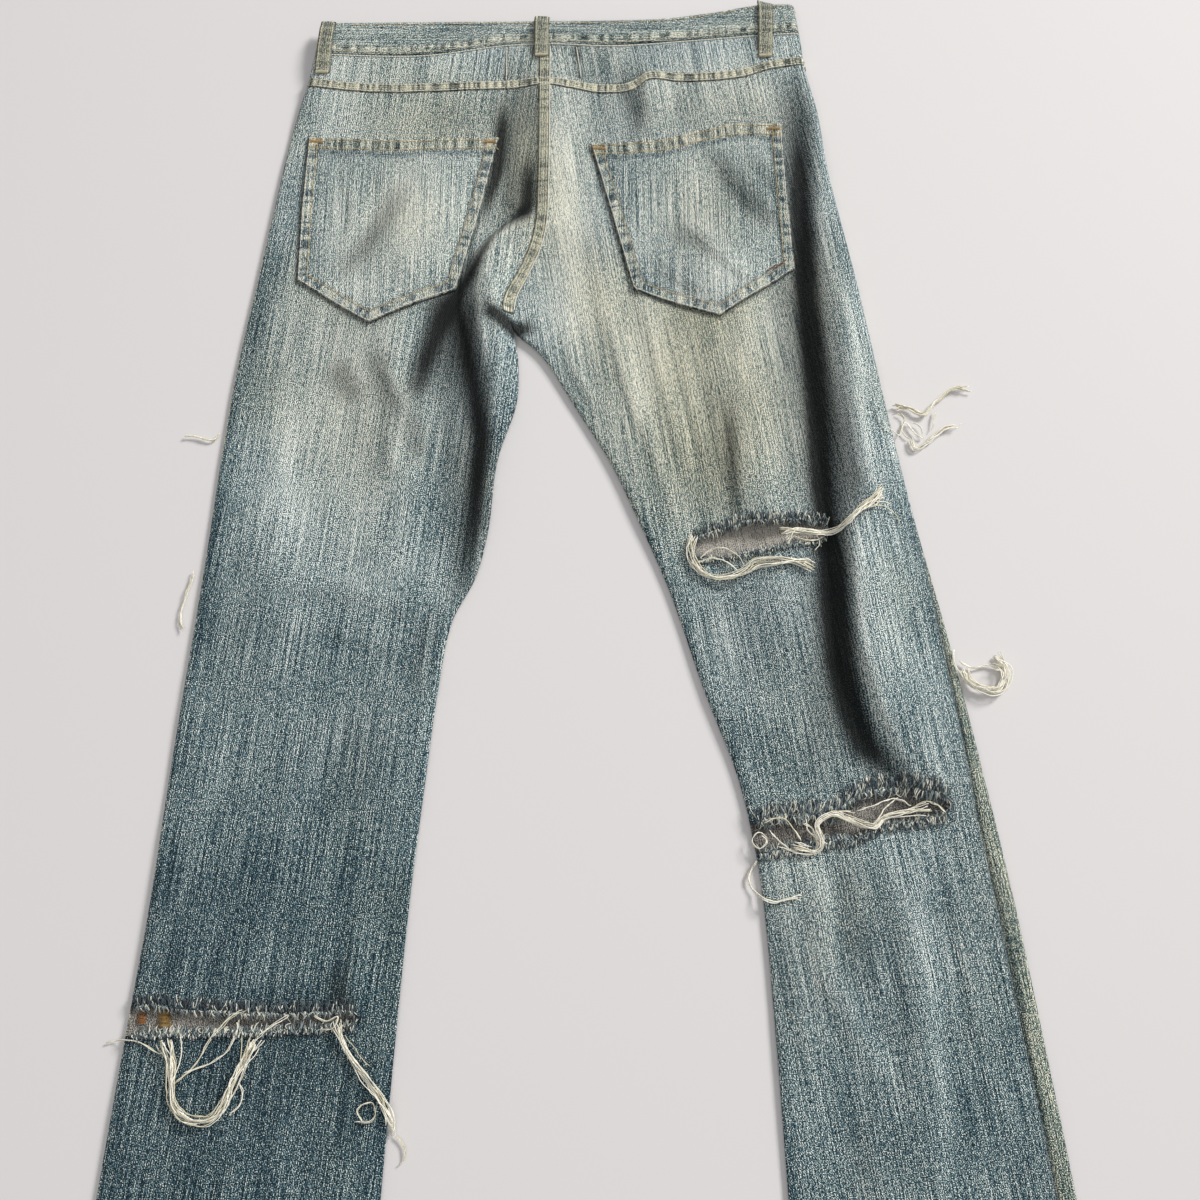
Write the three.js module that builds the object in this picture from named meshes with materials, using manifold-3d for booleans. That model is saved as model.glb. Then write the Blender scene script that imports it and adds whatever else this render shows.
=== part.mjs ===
// Ripped straight-leg jeans, laid flat on their front with the back showing.
// Millimetres, +Z up, +Y towards the waist, +X towards the wearer's right leg.
// Each leg is a flattened tube: a front panel below and a back panel above it, sewn at both edges.
// The back panels carry the folds; three rips go right through them.

import * as THREE from 'three';
import { mergeVertices } from 'three/addons/utils/BufferGeometryUtils.js';
import Module from 'manifold-3d';

const wasm = await Module();
wasm.setup();

// ---------------------------------------------------------------- driving dimensions

const CLOTH = 1.3; // washed denim, one layer
const BAND_CLOTH = 1.8; // waistband, two layers pressed
const HEM_CLOTH = 1.5; // turned hem
const GAP = 0.3; // clearance between sewn pieces
const FLAT_TOP = 5.0; // height of the back's outer face where nothing folds
const LOWEST_TOP = 3.6; // the back's outer face never sinks below this
const EDGE_Z = 2.6; // height of the side seams in the rolled edges
const ROLL = 7; // plan width of the rolled edge
const WAIST_LIFT = 1.6; // the front's waist rides this high on its loops and button
const LIFT_FROM = 622; // y where the front starts to rise to the waist
const LIFT_TO = 668;
const WAIST_SWELL = 1.4; // the back stands this much higher over the waist's extra layers
const CROTCH_Y = 450; // where the legs part
const PANEL_END_Y = -340; // lower end of the leg panels at the leg's middle
const HEM_DEPTH = 13; // turned hem
const HEM_TILT = 0.09; // the hems lie square to the splayed legs
const TOP_LAYER_LIFT = 2.1; // a pocket is its panel's own surface, moved up by this
const LOOP_WIDTH = 12.5;
const LOOP_CLOTH = 1.4;
const LOOP_ARCH = 2.4; // a belt loop's rise over the waistband
const SEAT_SEAM_WIDTH = 10;
const SEAT_SEAM_CLOTH = 0.9;
const SEAT_SEAM_END = 466; // where the seat seam goes under the bunched crotch
const FRINGE_LIFT = 2.6;
const YARN_SIDES = 6;

// Edges of the two halves, as [y, x] pairs from the waist down.
const LEFT_OUTER = [
  [760, -218], [717, -240], [684, -246], [629, -258], [515, -275], [401, -291],
  [261, -302], [108, -315], [0, -323], [-67, -330], [-190, -342], [-370, -359],
];
const LEFT_INNER = [
  [760, -47], [560, -47], [530, -51], [505, -61], [480, -72], [463, -73], [450, -69], [425, -65],
  [390, -66], [343, -80], [286, -86], [248, -95], [213, -112], [160, -121], [94, -128],
  [0, -137], [-139, -146], [-370, -159],
];
const RIGHT_OUTER = [
  [760, 166], [722, 171], [692, 174], [649, 183], [588, 190], [488, 209], [392, 225],
  [293, 243], [198, 263], [108, 280], [8, 297], [-115, 314], [-200, 325], [-370, 344],
];
const RIGHT_INNER = [
  [760, -47], [560, -47], [530, -51], [505, -61], [480, -72], [463, -73], [450, -67], [438, -53],
  [425, -42], [388, -20], [341, 8], [295, 29], [237, 53], [160, 78], [100, 100], [57, 110],
  [8, 117], [-87, 123], [-190, 128], [-370, 137],
];

// Lines across the seat, as [x, y] pairs from the left side seam to the right one.
const WAIST_TOP = [[-230, 737], [-57, 739], [46, 741], [100, 748], [135, 755], [170, 756]];
const BAND_SEAM = [
  [-245, 707], [-153, 705], [-81, 715], [-42, 717], [14, 715], [79, 720], [132, 725], [175, 728],
];
const YOKE_SEAM = [
  [-250, 683], [-194, 677], [-118, 678], [-46, 680], [19, 676], [42, 686], [78, 687],
  [119, 691], [144, 699], [178, 704],
];
const FRONT_DIP = 26; // the front's waist lies this much lower at the centre

// Folds of the back, each a ridge along [x, y, height] points, steep on one side.
// The sides are half-widths towards -X and towards +X.
const FOLDS = [
  { left: 17, right: 62, crest: [
    [172, 700, 0], [182, 635, 8], [182, 569, 11], [178, 479, 13], [182, 439, 14], [190, 360, 15],
    [192, 303, 15], [197, 234, 17], [201, 193, 18], [217, 145, 17], [230, 116, 12], [246, 89, 7],
    [252, 60, 0],
  ] },
  { left: 55, right: 40, crest: [
    [112, 640, 0], [112, 560, 3], [108, 480, 4], [122, 400, 6], [128, 320, 6], [138, 240, 6],
    [146, 160, 6], [150, 100, 4], [150, 40, 0],
  ] },
  { left: 34, right: 46, crest: [
    [-46, 712, 0], [-45, 670, 6], [-45, 600, 8], [-48, 550, 6], [-56, 520, 0],
  ] },
  { left: 13, right: 30, crest: [
    [-52, 545, 0], [-66, 538, 7], [-82, 527, 11], [-91, 508, 13], [-94, 480, 13], [-90, 445, 11],
    [-82, 410, 10], [-82, 370, 10], [-86, 320, 8], [-89, 280, 6], [-96, 235, 0],
  ] },
  { left: 60, right: 34, crest: [
    [-130, 640, 0], [-138, 560, 5], [-150, 490, 5], [-168, 420, 4], [-150, 340, 5], [-150, 270, 3],
    [-150, 210, 0],
  ] },
  { left: 8, right: 30, crest: [[108, 392, 0], [108, 361, 3], [110, 318, 3], [112, 292, 0]] },
  { left: 8, right: 26, crest: [[30, 712, 0], [40, 682, 4], [39, 650, 4], [34, 618, 0]] },
  { left: 10, right: 26, crest: [[-174, -2, 0], [-172, -22, 3], [-176, -52, 5], [-184, -84, 0]] },
  { left: 16, right: 14, crest: [
    [156, 40, 0], [158, 10, 4], [160, -38, 4], [178, -80, 3], [200, -120, 0],
  ] },
  { left: 30, right: 18, crest: [
    [222, 44, 0], [224, 0, 3], [226, -70, 4], [228, -150, 3], [232, -240, 0],
  ] },
];

// ---------------------------------------------------------------- plain geometry helpers

const lerp = (a, b, t) => a + (b - a) * t;

function ease(from, to, value) {
  const u = Math.min(Math.max((value - from) / (to - from), 0), 1);
  return u * u * (3 - 2 * u);
}

// A smooth function through [key, value] pairs, whose keys rise or fall.
function smoothThrough(pairs) {
  const knots = pairs[0][0] < pairs[1][0] ? pairs : [...pairs].reverse();
  const slopes = knots.map((knot, i) => {
    const before = knots[Math.max(i - 1, 0)];
    const after = knots[Math.min(i + 1, knots.length - 1)];
    return (after[1] - before[1]) / (after[0] - before[0]);
  });
  return (key) => {
    let i = 0;
    while (i < knots.length - 2 && key > knots[i + 1][0]) i += 1;
    const [k0, v0] = knots[i];
    const [k1, v1] = knots[i + 1];
    const span = k1 - k0;
    const u = Math.min(Math.max((key - k0) / span, 0), 1);
    const u2 = u * u;
    const u3 = u2 * u;
    const start = (2 * u3 - 3 * u2 + 1) * v0 + (u3 - 2 * u2 + u) * span * slopes[i];
    const end = (3 * u2 - 2 * u3) * v1 + (u3 - u2) * span * slopes[i + 1];
    return start + end;
  };
}

// Height that one fold adds at (x, y): its crest's height there, faded out over its sides.
function foldHeight(fold, x, y) {
  let nearest = Infinity;
  let height = 0;
  for (let i = 0; i < fold.crest.length - 1; i += 1) {
    const [ax, ay, ah] = fold.crest[i];
    const [bx, by, bh] = fold.crest[i + 1];
    const dx = bx - ax;
    const dy = by - ay;
    const along = Math.min(Math.max(((x - ax) * dx + (y - ay) * dy) / (dx * dx + dy * dy), 0), 1);
    const offX = x - (ax + dx * along);
    const offY = y - (ay + dy * along);
    const toRight = offX * -dy + offY * dx > 0;
    const share = Math.hypot(offX, offY) / (toRight ? fold.right : fold.left);
    if (share < nearest) {
      nearest = share;
      height = lerp(ah, bh, along);
    }
  }
  return nearest < 1 ? height * (1 - nearest * nearest) ** 2 : 0;
}

const waistLift = (y) => WAIST_LIFT * ease(LIFT_FROM, LIFT_TO, y);

function topHeight(x, y) {
  const unfolded = FLAT_TOP + WAIST_SWELL * ease(LIFT_FROM, LIFT_TO, y);
  const folded = FOLDS.reduce((sum, fold) => sum + foldHeight(fold, x, y), unfolded);
  return Math.max(folded, LOWEST_TOP);
}

// A closed wall of one thickness under a grid of points on its outer face.
// A point's rolled value, from 0 to 1, says how far its cloth stands on edge there, and its face
// is the way that its cloth faces, where two pieces must meet squarely.
function wall(rows, thickness) {
  const last = rows.length - 1;
  const end = rows[0].length - 1;
  const inside = rows.map((row, i) => row.map((point, j) => {
    const across = rows[i][Math.min(j + 1, end)].clone().sub(rows[i][Math.max(j - 1, 0)]);
    const along = rows[Math.min(i + 1, last)][j].clone().sub(rows[Math.max(i - 1, 0)][j]);
    const normal = point.face ?? across.cross(along).normalize();
    normal.z *= 1 - (point.rolled ?? 0);
    return point.clone().addScaledVector(normal.normalize(), -thickness);
  }));
  const corners = [];
  const quad = (a, b, c, d) => corners.push(a, b, c, a, c, d);
  for (let i = 0; i < last; i += 1) {
    for (let j = 0; j < end; j += 1) {
      quad(rows[i][j], rows[i][j + 1], rows[i + 1][j + 1], rows[i + 1][j]);
      quad(inside[i][j], inside[i + 1][j], inside[i + 1][j + 1], inside[i][j + 1]);
    }
    quad(rows[i][0], rows[i + 1][0], inside[i + 1][0], inside[i][0]);
    quad(rows[i + 1][end], rows[i][end], inside[i][end], inside[i + 1][end]);
  }
  for (let j = 0; j < end; j += 1) {
    quad(rows[0][j + 1], rows[0][j], inside[0][j], inside[0][j + 1]);
    quad(rows[last][j], rows[last][j + 1], inside[last][j + 1], inside[last][j]);
  }
  const geometry = new THREE.BufferGeometry().setFromPoints(corners);
  return mergeVertices(geometry, 1e-3);
}

// ---------------------------------------------------------------- the garment's two halves

function makeHalf(outerPairs, innerPairs, seamShift) {
  const outer = smoothThrough(outerPairs);
  const innerEdge = smoothThrough(innerPairs);
  const side = Math.sign(innerPairs[0][1] - outerPairs[0][1]);
  const inner = (y) => innerEdge(y) - side * GAP / 2;
  // Distance that the side seam lies in from the edge, on top.
  const seam = (y) => seamShift.least + seamShift.most * ease(seamShift.from, seamShift.to, y);
  return { outer, inner, side, seam };
}

const leftHalf = makeHalf(LEFT_OUTER, LEFT_INNER, { least: 0.8, most: 0, from: 310, to: 10 });
const rightHalf = makeHalf(RIGHT_OUTER, RIGHT_INNER, { least: 1.0, most: 12.5, from: 310, to: 10 });

const rollShape = (distance) => Math.sqrt(Math.max(1 - (1 - Math.min(distance / ROLL, 1)) ** 2, 0));

// How much of the inner edge is rolled: none along the seat seam, all of it along the inseam.
const innerRoll = (y) => ease(CROTCH_Y + 16, CROTCH_Y - 14, y);

function edgeShare(half, x, y) {
  const fromOuter = rollShape(Math.abs(x - half.outer(y)));
  const fromInner = lerp(1, rollShape(Math.abs(x - half.inner(y))), innerRoll(y));
  return fromOuter * fromInner;
}

// A point of a panel whose height goes from the seams' height at an edge to the panel's own.
function panelPoint(half, distance, y, middle, open) {
  const x = half.outer(y) + half.side * distance;
  const lift = waistLift(y);
  const point = new THREE.Vector3(x, y, lift + lerp(middle, open(x, y), edgeShare(half, x, y)));
  const atInseam = Math.abs(x - half.inner(y)) < 0.01;
  point.rolled = atInseam ? innerRoll(y) : 0;
  return point;
}

// The way that the cloth faces at the side seam, part of the way round the rolled edge.
function seamFace(half, y) {
  const turned = 1 - Math.min(half.seam(y) / ROLL, 1);
  const height = FLAT_TOP - EDGE_Z;
  const rise = ROLL * Math.sqrt(1 - turned ** 2);
  return new THREE.Vector3(-half.side * height * turned, 0, rise).normalize();
}

function onTop(half, distance, y) {
  const point = panelPoint(half, distance, y, EDGE_Z + GAP / 2, topHeight);
  const atSeam = distance >= half.seam(y) - 0.01 && distance <= half.seam(y) + GAP + 0.01;
  if (atSeam) point.face = seamFace(half, y);
  return point;
}

const underneath = (half, distance, y) => panelPoint(half, distance, y, EDGE_Z - GAP / 2, () => 0);

const ROLL_STEPS = [0, 0.29, 1]; // shares of the rolled edge's width, at even turns of its arc

// Distances from the outer edge for a row of stations from one distance to another.
function stations(from, to, count) {
  const middle = Array.from(
    { length: count - 1 },
    (_, k) => lerp(from + ROLL, to - ROLL, (k + 1) / count),
  );
  const start = ROLL_STEPS.map((share) => from + ROLL * share);
  const finish = [...ROLL_STEPS].reverse().map((share) => to - ROLL * share);
  return [...start, ...middle, ...finish];
}

const bandSeam = smoothThrough(BAND_SEAM);
const yokeSeam = smoothThrough(YOKE_SEAM);
const waistTop = smoothThrough(WAIST_TOP);
const below = (line, drop) => (x) => line(x) - drop;

// How much lower the front lies than the back: nothing at the side seams, all of it in the middle.
const frontDip = (x) => FRONT_DIP * ease(150, 30, Math.abs(x - LEFT_INNER[0][1]));
const dipped = (line, drop) => (x) => line(x) - drop - frontDip(x);

function hemLine(half, offset) {
  const middle = (half.outer(PANEL_END_Y) + half.inner(PANEL_END_Y)) / 2;
  return (x) => PANEL_END_Y - offset - half.side * HEM_TILT * (x - middle);
}

const WAIST_Y = 705; // where the lines of the waist cross the edges, near enough
const evenShares = (steps, withLast = true) => (
  Array.from({ length: steps + (withLast ? 1 : 0) }, (_, k) => k / steps)
);

// Rows are close together over the seat and crotch, and wider apart down the legs.
const SEAT_SHARE = 0.3;
const panelShares = (seatRows, legRows) => [
  ...evenShares(seatRows, false).map((share) => share * SEAT_SHARE),
  ...evenShares(legRows).map((share) => lerp(SEAT_SHARE, 1, share)),
];

// y of one point of a row: a share of the way from an upper line to a lower one.
function rowY(half, stretch, t, fraction) {
  const at = (line, y) => line(lerp(half.outer(y), half.inner(y), fraction));
  return lerp(
    at(stretch.upper, stretch.upperY ?? WAIST_Y),
    at(stretch.lower, stretch.lowerY ?? WAIST_Y),
    t,
  );
}

// Puts a panel's rows in order of rising y, and its columns so that they turn about it one way.
const ordered = (half, rows) => (half.side > 0 ? rows : rows.map((row) => row.reverse())).reverse();

function everyRow(stretches, makeRow) {
  return stretches.flatMap((stretch) => stretch.shares.map((t) => makeRow(stretch, t)));
}

function backRows(half, stretches, columns) {
  const last = columns + 4;
  const makeRow = (stretch, t) => Array.from({ length: last + 1 }, (_, k) => {
    const y = rowY(half, stretch, t, k / last);
    const width = Math.abs(half.inner(y) - half.outer(y));
    return onTop(half, stations(half.seam(y) + GAP, width, columns)[k], y);
  });
  return ordered(half, everyRow(stretches, makeRow));
}

// A front runs from the inner edge underneath to the outer edge, and over it to the side seam.
function frontRows(half, stretches, columns) {
  const last = columns + 4;
  const makeRow = (stretch, t) => {
    const under = Array.from({ length: last + 1 }, (_, k) => {
      const y = rowY(half, stretch, t, 1 - k / last);
      const width = Math.abs(half.inner(y) - half.outer(y));
      return underneath(half, stations(0, width, columns)[last - k], y);
    });
    const edgeY = rowY(half, stretch, t, 0);
    const over = [0.35, 1].map((share) => onTop(half, half.seam(edgeY) * share, edgeY));
    return [...under, ...over];
  };
  return ordered(half, everyRow(stretches, makeRow));
}

// ---------------------------------------------------------------- cutting and joining

function toManifold(geometry) {
  const bare = geometry.clone();
  bare.deleteAttribute('normal');
  bare.deleteAttribute('uv');
  const merged = mergeVertices(bare, 1e-3);
  return new wasm.Manifold(new wasm.Mesh({
    numProp: 3,
    vertProperties: new Float32Array(merged.attributes.position.array),
    triVerts: new Uint32Array(merged.index.array),
  }));
}

function fromManifold(solid) {
  const mesh = solid.getMesh();
  const geometry = new THREE.BufferGeometry();
  geometry.setAttribute('position', new THREE.BufferAttribute(mesh.vertProperties, 3));
  geometry.setIndex(new THREE.BufferAttribute(mesh.triVerts, 1));
  return geometry;
}

// A tall upright prism over an outline, for cutting cloth.
function prism(outline, low = -5, high = 60) {
  const shape = new THREE.Shape(outline.map(([x, y]) => new THREE.Vector2(x, y)));
  const geometry = new THREE.ExtrudeGeometry(shape, { depth: high - low, bevelEnabled: false });
  return toManifold(geometry.translate(0, 0, low));
}

// An outline grown by a distance about its middle line, for the clearance round an inset piece.
function grown(outline, distance) {
  const count = outline.length;
  const area = outline.reduce((sum, [x, y], i) => {
    const [nx, ny] = outline[(i + 1) % count];
    return sum + x * ny - nx * y;
  }, 0);
  const turn = Math.sign(area);
  return outline.map(([x, y], i) => {
    const [px, py] = outline[(i + count - 1) % count];
    const [nx, ny] = outline[(i + 1) % count];
    const first = new THREE.Vector2(y - py, px - x).normalize();
    const second = new THREE.Vector2(ny - y, x - nx).normalize();
    const corner = first.add(second).normalize();
    return [x + corner.x * distance * turn, y + corner.y * distance * turn];
  });
}

// ---------------------------------------------------------------- materials

function cloth(colour, roughness = 0.92) {
  return new THREE.MeshStandardMaterial({ color: colour, roughness, metalness: 0 });
}

const DENIM = 0x5d7780;
const DENIM_FADED = 0x8a938b;
const DENIM_DARK = 0x4f6872;
const THREAD = 0xe4dcc6;
const BRASS = 0x8d7a52;

const jeans = new THREE.Group();

function add(name, geometry, material) {
  const mesh = new THREE.Mesh(geometry, material);
  mesh.name = name;
  jeans.add(mesh);
  return mesh;
}

// ---------------------------------------------------------------- rips

// Each rip is an outline that is cut through the back panel.
const RIP_THIGH = [
  [73, 272], [78, 281], [99, 287], [112, 291], [154, 293], [174, 292], [168, 276], [147, 274],
  [127, 269], [103, 264], [77, 263],
];
const RIP_KNEE = [
  [98, 52], [112, 64], [131, 69], [172, 70], [181, 79], [197, 88], [227, 88], [248, 84], [250, 70],
  [228, 65], [206, 63], [183, 52], [163, 51], [138, 46], [112, 42], [98, 44],
];
const RIP_SHIN = [
  [-345, -66], [-312, -62], [-291, -65], [-247, -68], [-205, -68], [-172, -65], [-176, -74],
  [-194, -78], [-232, -80], [-276, -81], [-315, -82], [-345, -84],
];

function ripped(panel, rips) {
  return rips.reduce((solid, outline) => solid.subtract(prism(outline)), panel);
}

// ---------------------------------------------------------------- backs, yokes and fronts

const HALVES = [['left', leftHalf], ['right', rightHalf]];
const BACK_COLUMNS = 11;
const FRONT_COLUMNS = 4;
const PANEL_SHARES = panelShares(12, 15);
const YOKE_SHARES = evenShares(2);

const legStretch = (half, upper) => (
  { upper, lower: hemLine(half, 0), lowerY: PANEL_END_Y, shares: PANEL_SHARES }
);

const RIPS = { left: [RIP_SHIN], right: [RIP_THIGH, RIP_KNEE] };
const backSolids = {};

for (const [name, half] of HALVES) {
  const back = wall(backRows(half, [legStretch(half, below(yokeSeam, GAP))], BACK_COLUMNS), CLOTH);
  backSolids[name] = toManifold(back);
  add(`back_${name}`, fromManifold(ripped(backSolids[name], RIPS[name])), cloth(DENIM));
  const yokeStretch = { upper: below(bandSeam, GAP), lower: yokeSeam, shares: YOKE_SHARES };
  add(`yoke_${name}`, wall(backRows(half, [yokeStretch], BACK_COLUMNS), CLOTH), cloth(DENIM_FADED));
}

// The fly's topstitched strip, square at the waist and curved at its foot.
const FLY = [[-84, 730], [-84, 566], [-80, 553], [-72, 545], [-60, 542], [-40, 542], [-40, 730]];

// The facing cloth in the front pockets' curved mouths, out to the side seams.
const FACINGS = {
  left: [
    [-262, 600], [-224, 602], [-198, 610], [-175, 626], [-158, 648], [-152, 676], [-152, 730], [-262, 730],
  ],
  right: [
    [196, 604], [146, 606], [120, 614], [97, 630], [80, 652], [74, 680], [74, 740], [196, 740],
  ],
};

for (const [name, half] of HALVES) {
  const top = { upper: dipped(bandSeam, GAP), lower: dipped(yokeSeam, 0), shares: [0, 0.5] };
  const rows = frontRows(half, [top, legStretch(half, dipped(yokeSeam, 0))], FRONT_COLUMNS);
  const front = toManifold(wall(rows, CLOTH));
  const facing = front.intersect(prism(FACINGS[name]));
  const rest = front.subtract(prism(grown(FACINGS[name], GAP)));
  const withFly = name === 'left' ? rest.subtract(prism(grown(FLY, GAP))) : rest;
  add(`front_${name}`, fromManifold(withFly), cloth(DENIM));
  add(`front_pocket_facing_${name}`, fromManifold(facing), cloth(DENIM_DARK));
  if (name === 'left') add('fly_placket', fromManifold(rest.intersect(prism(FLY))), cloth(DENIM));
}

// ---------------------------------------------------------------- waistband, hems and seat seam

const BAND_SHARES = evenShares(2);

for (const [name, half] of HALVES) {
  const back = { upper: waistTop, lower: bandSeam, shares: BAND_SHARES };
  const front = { upper: dipped(waistTop, 0), lower: dipped(bandSeam, 0), shares: BAND_SHARES };
  const backBand = wall(backRows(half, [back], BACK_COLUMNS), BAND_CLOTH);
  const frontBand = wall(frontRows(half, [front], FRONT_COLUMNS), BAND_CLOTH);
  add(`waistband_back_${name}`, backBand, cloth(DENIM_FADED));
  add(`waistband_front_${name}`, frontBand, cloth(DENIM));
  const hem = {
    upper: hemLine(half, 4 * GAP),
    lower: hemLine(half, HEM_DEPTH),
    upperY: PANEL_END_Y,
    lowerY: PANEL_END_Y,
    shares: evenShares(1),
  };
  add(`hem_back_${name}`, wall(backRows(half, [hem], BACK_COLUMNS), HEM_CLOTH), cloth(DENIM));
  add(`hem_front_${name}`, wall(frontRows(half, [hem], FRONT_COLUMNS), HEM_CLOTH), cloth(DENIM));
}

// The felled seat seam lies over both backs' edges, from the waistband to the crotch.
const seatLine = smoothThrough(LEFT_INNER);
const seatRows = [
  ...YOKE_SHARES.map((t) => lerp(bandSeam(-46) - GAP, yokeSeam(-46), t)),
  ...PANEL_SHARES.map((t) => rowY(leftHalf, legStretch(leftHalf, below(yokeSeam, GAP)), t, 1)),
].filter((y) => y > SEAT_SEAM_END);

const heightOver = (x, y, clearance) => topHeight(x, y) + waistLift(y) + clearance;

const seatSeam = [...seatRows, SEAT_SEAM_END].reverse().map((y) => [-0.5, 0, 0.5].map((share) => {
  const x = seatLine(y) + share * SEAT_SEAM_WIDTH;
  return new THREE.Vector3(x, y, heightOver(x, y, 2 * GAP + SEAT_SEAM_CLOTH));
}));
add('seat_seam', wall(seatSeam, SEAT_SEAM_CLOTH), cloth(DENIM_FADED));

// ---------------------------------------------------------------- back pockets

// Each pocket is the panel's own surface inside its outline, moved up.
const POCKETS = {
  left: [[-243, 627], [-245, 496], [-185, 457], [-116, 488], [-99, 554], [-84, 626]],
  right: [
    [-8, 620], [27, 487], [96, 463], [158, 506], [155, 561], [152, 639], [106, 639], [91, 635], [49, 624],
  ],
};

for (const [name, outline] of Object.entries(POCKETS)) {
  const copy = backSolids[name].intersect(prism(outline));
  add(`back_pocket_${name}`, fromManifold(copy), cloth(DENIM)).position.z = TOP_LAYER_LIFT;
}

// ---------------------------------------------------------------- belt loops and button

// Three loops over the back of the waistband, each from its lower end to its upper end.
const BACK_LOOPS = {
  left: { low: [-233, 690], high: [-229, 736], under: 0 },
  centre: { low: [-50, 704], high: [-50, 742], under: SEAT_SEAM_CLOTH + GAP },
  right: { low: [140, 705], high: [141, 758], under: 0 },
};

// Shares of a loop's length, with how far it stands off the waistband there.
const LOOP_STEPS = [[0, 0], [0.1, 0.1], [0.28, 1], [0.72, 1], [0.9, 0.1], [1, 0]];

for (const [name, { low, high, under }] of Object.entries(BACK_LOOPS)) {
  const half = low[0] < -60 ? leftHalf : rightHalf;
  const rows = LOOP_STEPS.map(([share, rise]) => [-0.5, 0.5].map((across) => {
    const x = lerp(low[0], high[0], share);
    const y = lerp(low[1], high[1], share);
    const inland = half.side > 0 ? Math.max(x, half.outer(y) + ROLL) : x;
    const z = heightOver(inland, y, under + 3 * GAP + LOOP_CLOTH + rise * LOOP_ARCH);
    return new THREE.Vector3(x + across * LOOP_WIDTH, y, z);
  }));
  add(`belt_loop_back_${name}`, wall(rows, LOOP_CLOTH), cloth(DENIM_FADED));
}

// Two loops and the button lie under the front of the waistband, pressed flat on the ground.
const FRONT_LOOPS = { left: [-150, 706], right: [78, 720] };
const FRONT_LOOP_SIZE = [LOOP_WIDTH, 46, WAIST_LIFT - 2 * GAP];

for (const [name, [x, y]] of Object.entries(FRONT_LOOPS)) {
  const loop = add(`belt_loop_front_${name}`, new THREE.BoxGeometry(...FRONT_LOOP_SIZE), cloth(DENIM));
  loop.position.set(x, y, FRONT_LOOP_SIZE[2] / 2);
}

const BUTTON_PROFILE = [[0, 0], [7, 0], [8.5, 0.5], [8.5, 0.9], [7.5, 1.2], [0, 1.2]];
const button = new THREE.LatheGeometry(BUTTON_PROFILE.map(([r, z]) => new THREE.Vector2(r, z)), 24);
const brass = new THREE.MeshStandardMaterial({ color: BRASS, roughness: 0.4, metalness: 0.9 });
const waistButton = add('waist_button', button, brass);
waistButton.rotation.x = Math.PI / 2;
waistButton.position.set(-62, 706, 0);

// ---------------------------------------------------------------- frayed edges and loose yarns

// Plain strips of the reach of each rip's fringe, above the cloth beside the rip.
const FRINGES = {
  thigh_top: ['right', [
    [75, 283], [98, 289], [112, 293], [154, 295], [172, 294], [172, 302], [150, 304], [110, 300],
    [92, 294], [76, 288],
  ]],
  thigh_bottom: ['right', [
    [78, 262], [103, 263], [127, 268], [147, 273], [164, 274], [164, 268], [147, 267], [128, 262],
    [104, 257], [80, 257],
  ]],
  knee_top: ['right', [
    [118, 66], [131, 71], [172, 72], [181, 81], [197, 90], [227, 90], [244, 87], [244, 95],
    [225, 99], [195, 98], [178, 88], [168, 78], [130, 77], [118, 72],
  ]],
  knee_bottom: ['right', [
    [120, 41], [138, 45], [163, 50], [183, 51], [206, 62], [228, 64], [246, 68], [246, 61],
    [230, 57], [208, 56], [186, 45], [164, 44], [138, 39], [120, 36],
  ]],
  shin_top: ['left', [
    [-318, -62], [-291, -64], [-247, -67], [-205, -67], [-174, -64], [-174, -55], [-205, -57],
    [-247, -57], [-290, -56], [-318, -55],
  ]],
  shin_bottom: ['left', [
    [-318, -83], [-276, -82], [-232, -81], [-194, -79], [-194, -85], [-232, -88], [-276, -89],
    [-318, -90],
  ]],
};

for (const [name, [half, outline]] of Object.entries(FRINGES)) {
  const strip = backSolids[half].intersect(prism(outline));
  add(`fringe_${name}`, fromManifold(strip), cloth(DENIM_FADED)).position.z = FRINGE_LIFT;
}

// Bundles of white weft yarn pulled out of the rips, as [x, y] points and a radius.
const YARNS = {
  thigh_left: [2.6, [
    [72, 281], [69, 269], [73, 257], [82, 248], [95, 246], [110, 251], [120, 257], [149, 258],
    [163, 255],
  ]],
  thigh_right: [2.6, [[150, 284], [166, 283], [181, 284], [194, 294], [208, 305], [218, 314]]],
  knee_bundle: [2.2, [
    [137, 47], [155, 43], [160, 50], [157, 62], [169, 70], [180, 66], [197, 60], [207, 67],
    [229, 72], [239, 74],
  ]],
  knee_hanging: [1.2, [
    [113, 36], [109, 30], [107, 22], [114, 12], [124, 8], [137, 11], [145, 12],
  ]],
  shin_loop: [3.2, [
    [-300, -84], [-295, -99], [-293, -125], [-283, -136], [-269, -138], [-260, -131], [-253, -116],
    [-245, -97], [-239, -81],
  ]],
  shin_right: [2.8, [[-184, -72], [-176, -93], [-161, -112], [-147, -130], [-140, -150]]],
  edge_left_upper: [1, [[-299, 366], [-304, 360], [-316, 363], [-326, 365]]],
  edge_left_lower: [1.2, [[-316, 206], [-318, 220], [-314, 238], [-309, 259]]],
  edge_right_upper: [2, [[231, 389], [243, 387], [255, 381], [265, 391], [279, 404], [295, 404]]],
  edge_right_lower: [1.8, [[243, 362], [247, 353], [258, 359], [271, 369], [285, 373]]],
  edge_right_tuft: [4.6, [
    [272, 178], [275, 168], [284, 162], [296, 161], [303, 168], [303, 178], [295, 185],
  ]],
};

const halfAt = (x, y) => (x > rightHalf.inner(y) - 2 ? rightHalf : leftHalf);

function clothUnder(x, y) {
  const half = halfAt(x, y);
  const reach = [half.outer(y), half.inner(y)];
  const covered = x > Math.min(...reach) - 1 && x < Math.max(...reach) + 1;
  return covered ? topHeight(x, y) + waistLift(y) : 0;
}

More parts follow.
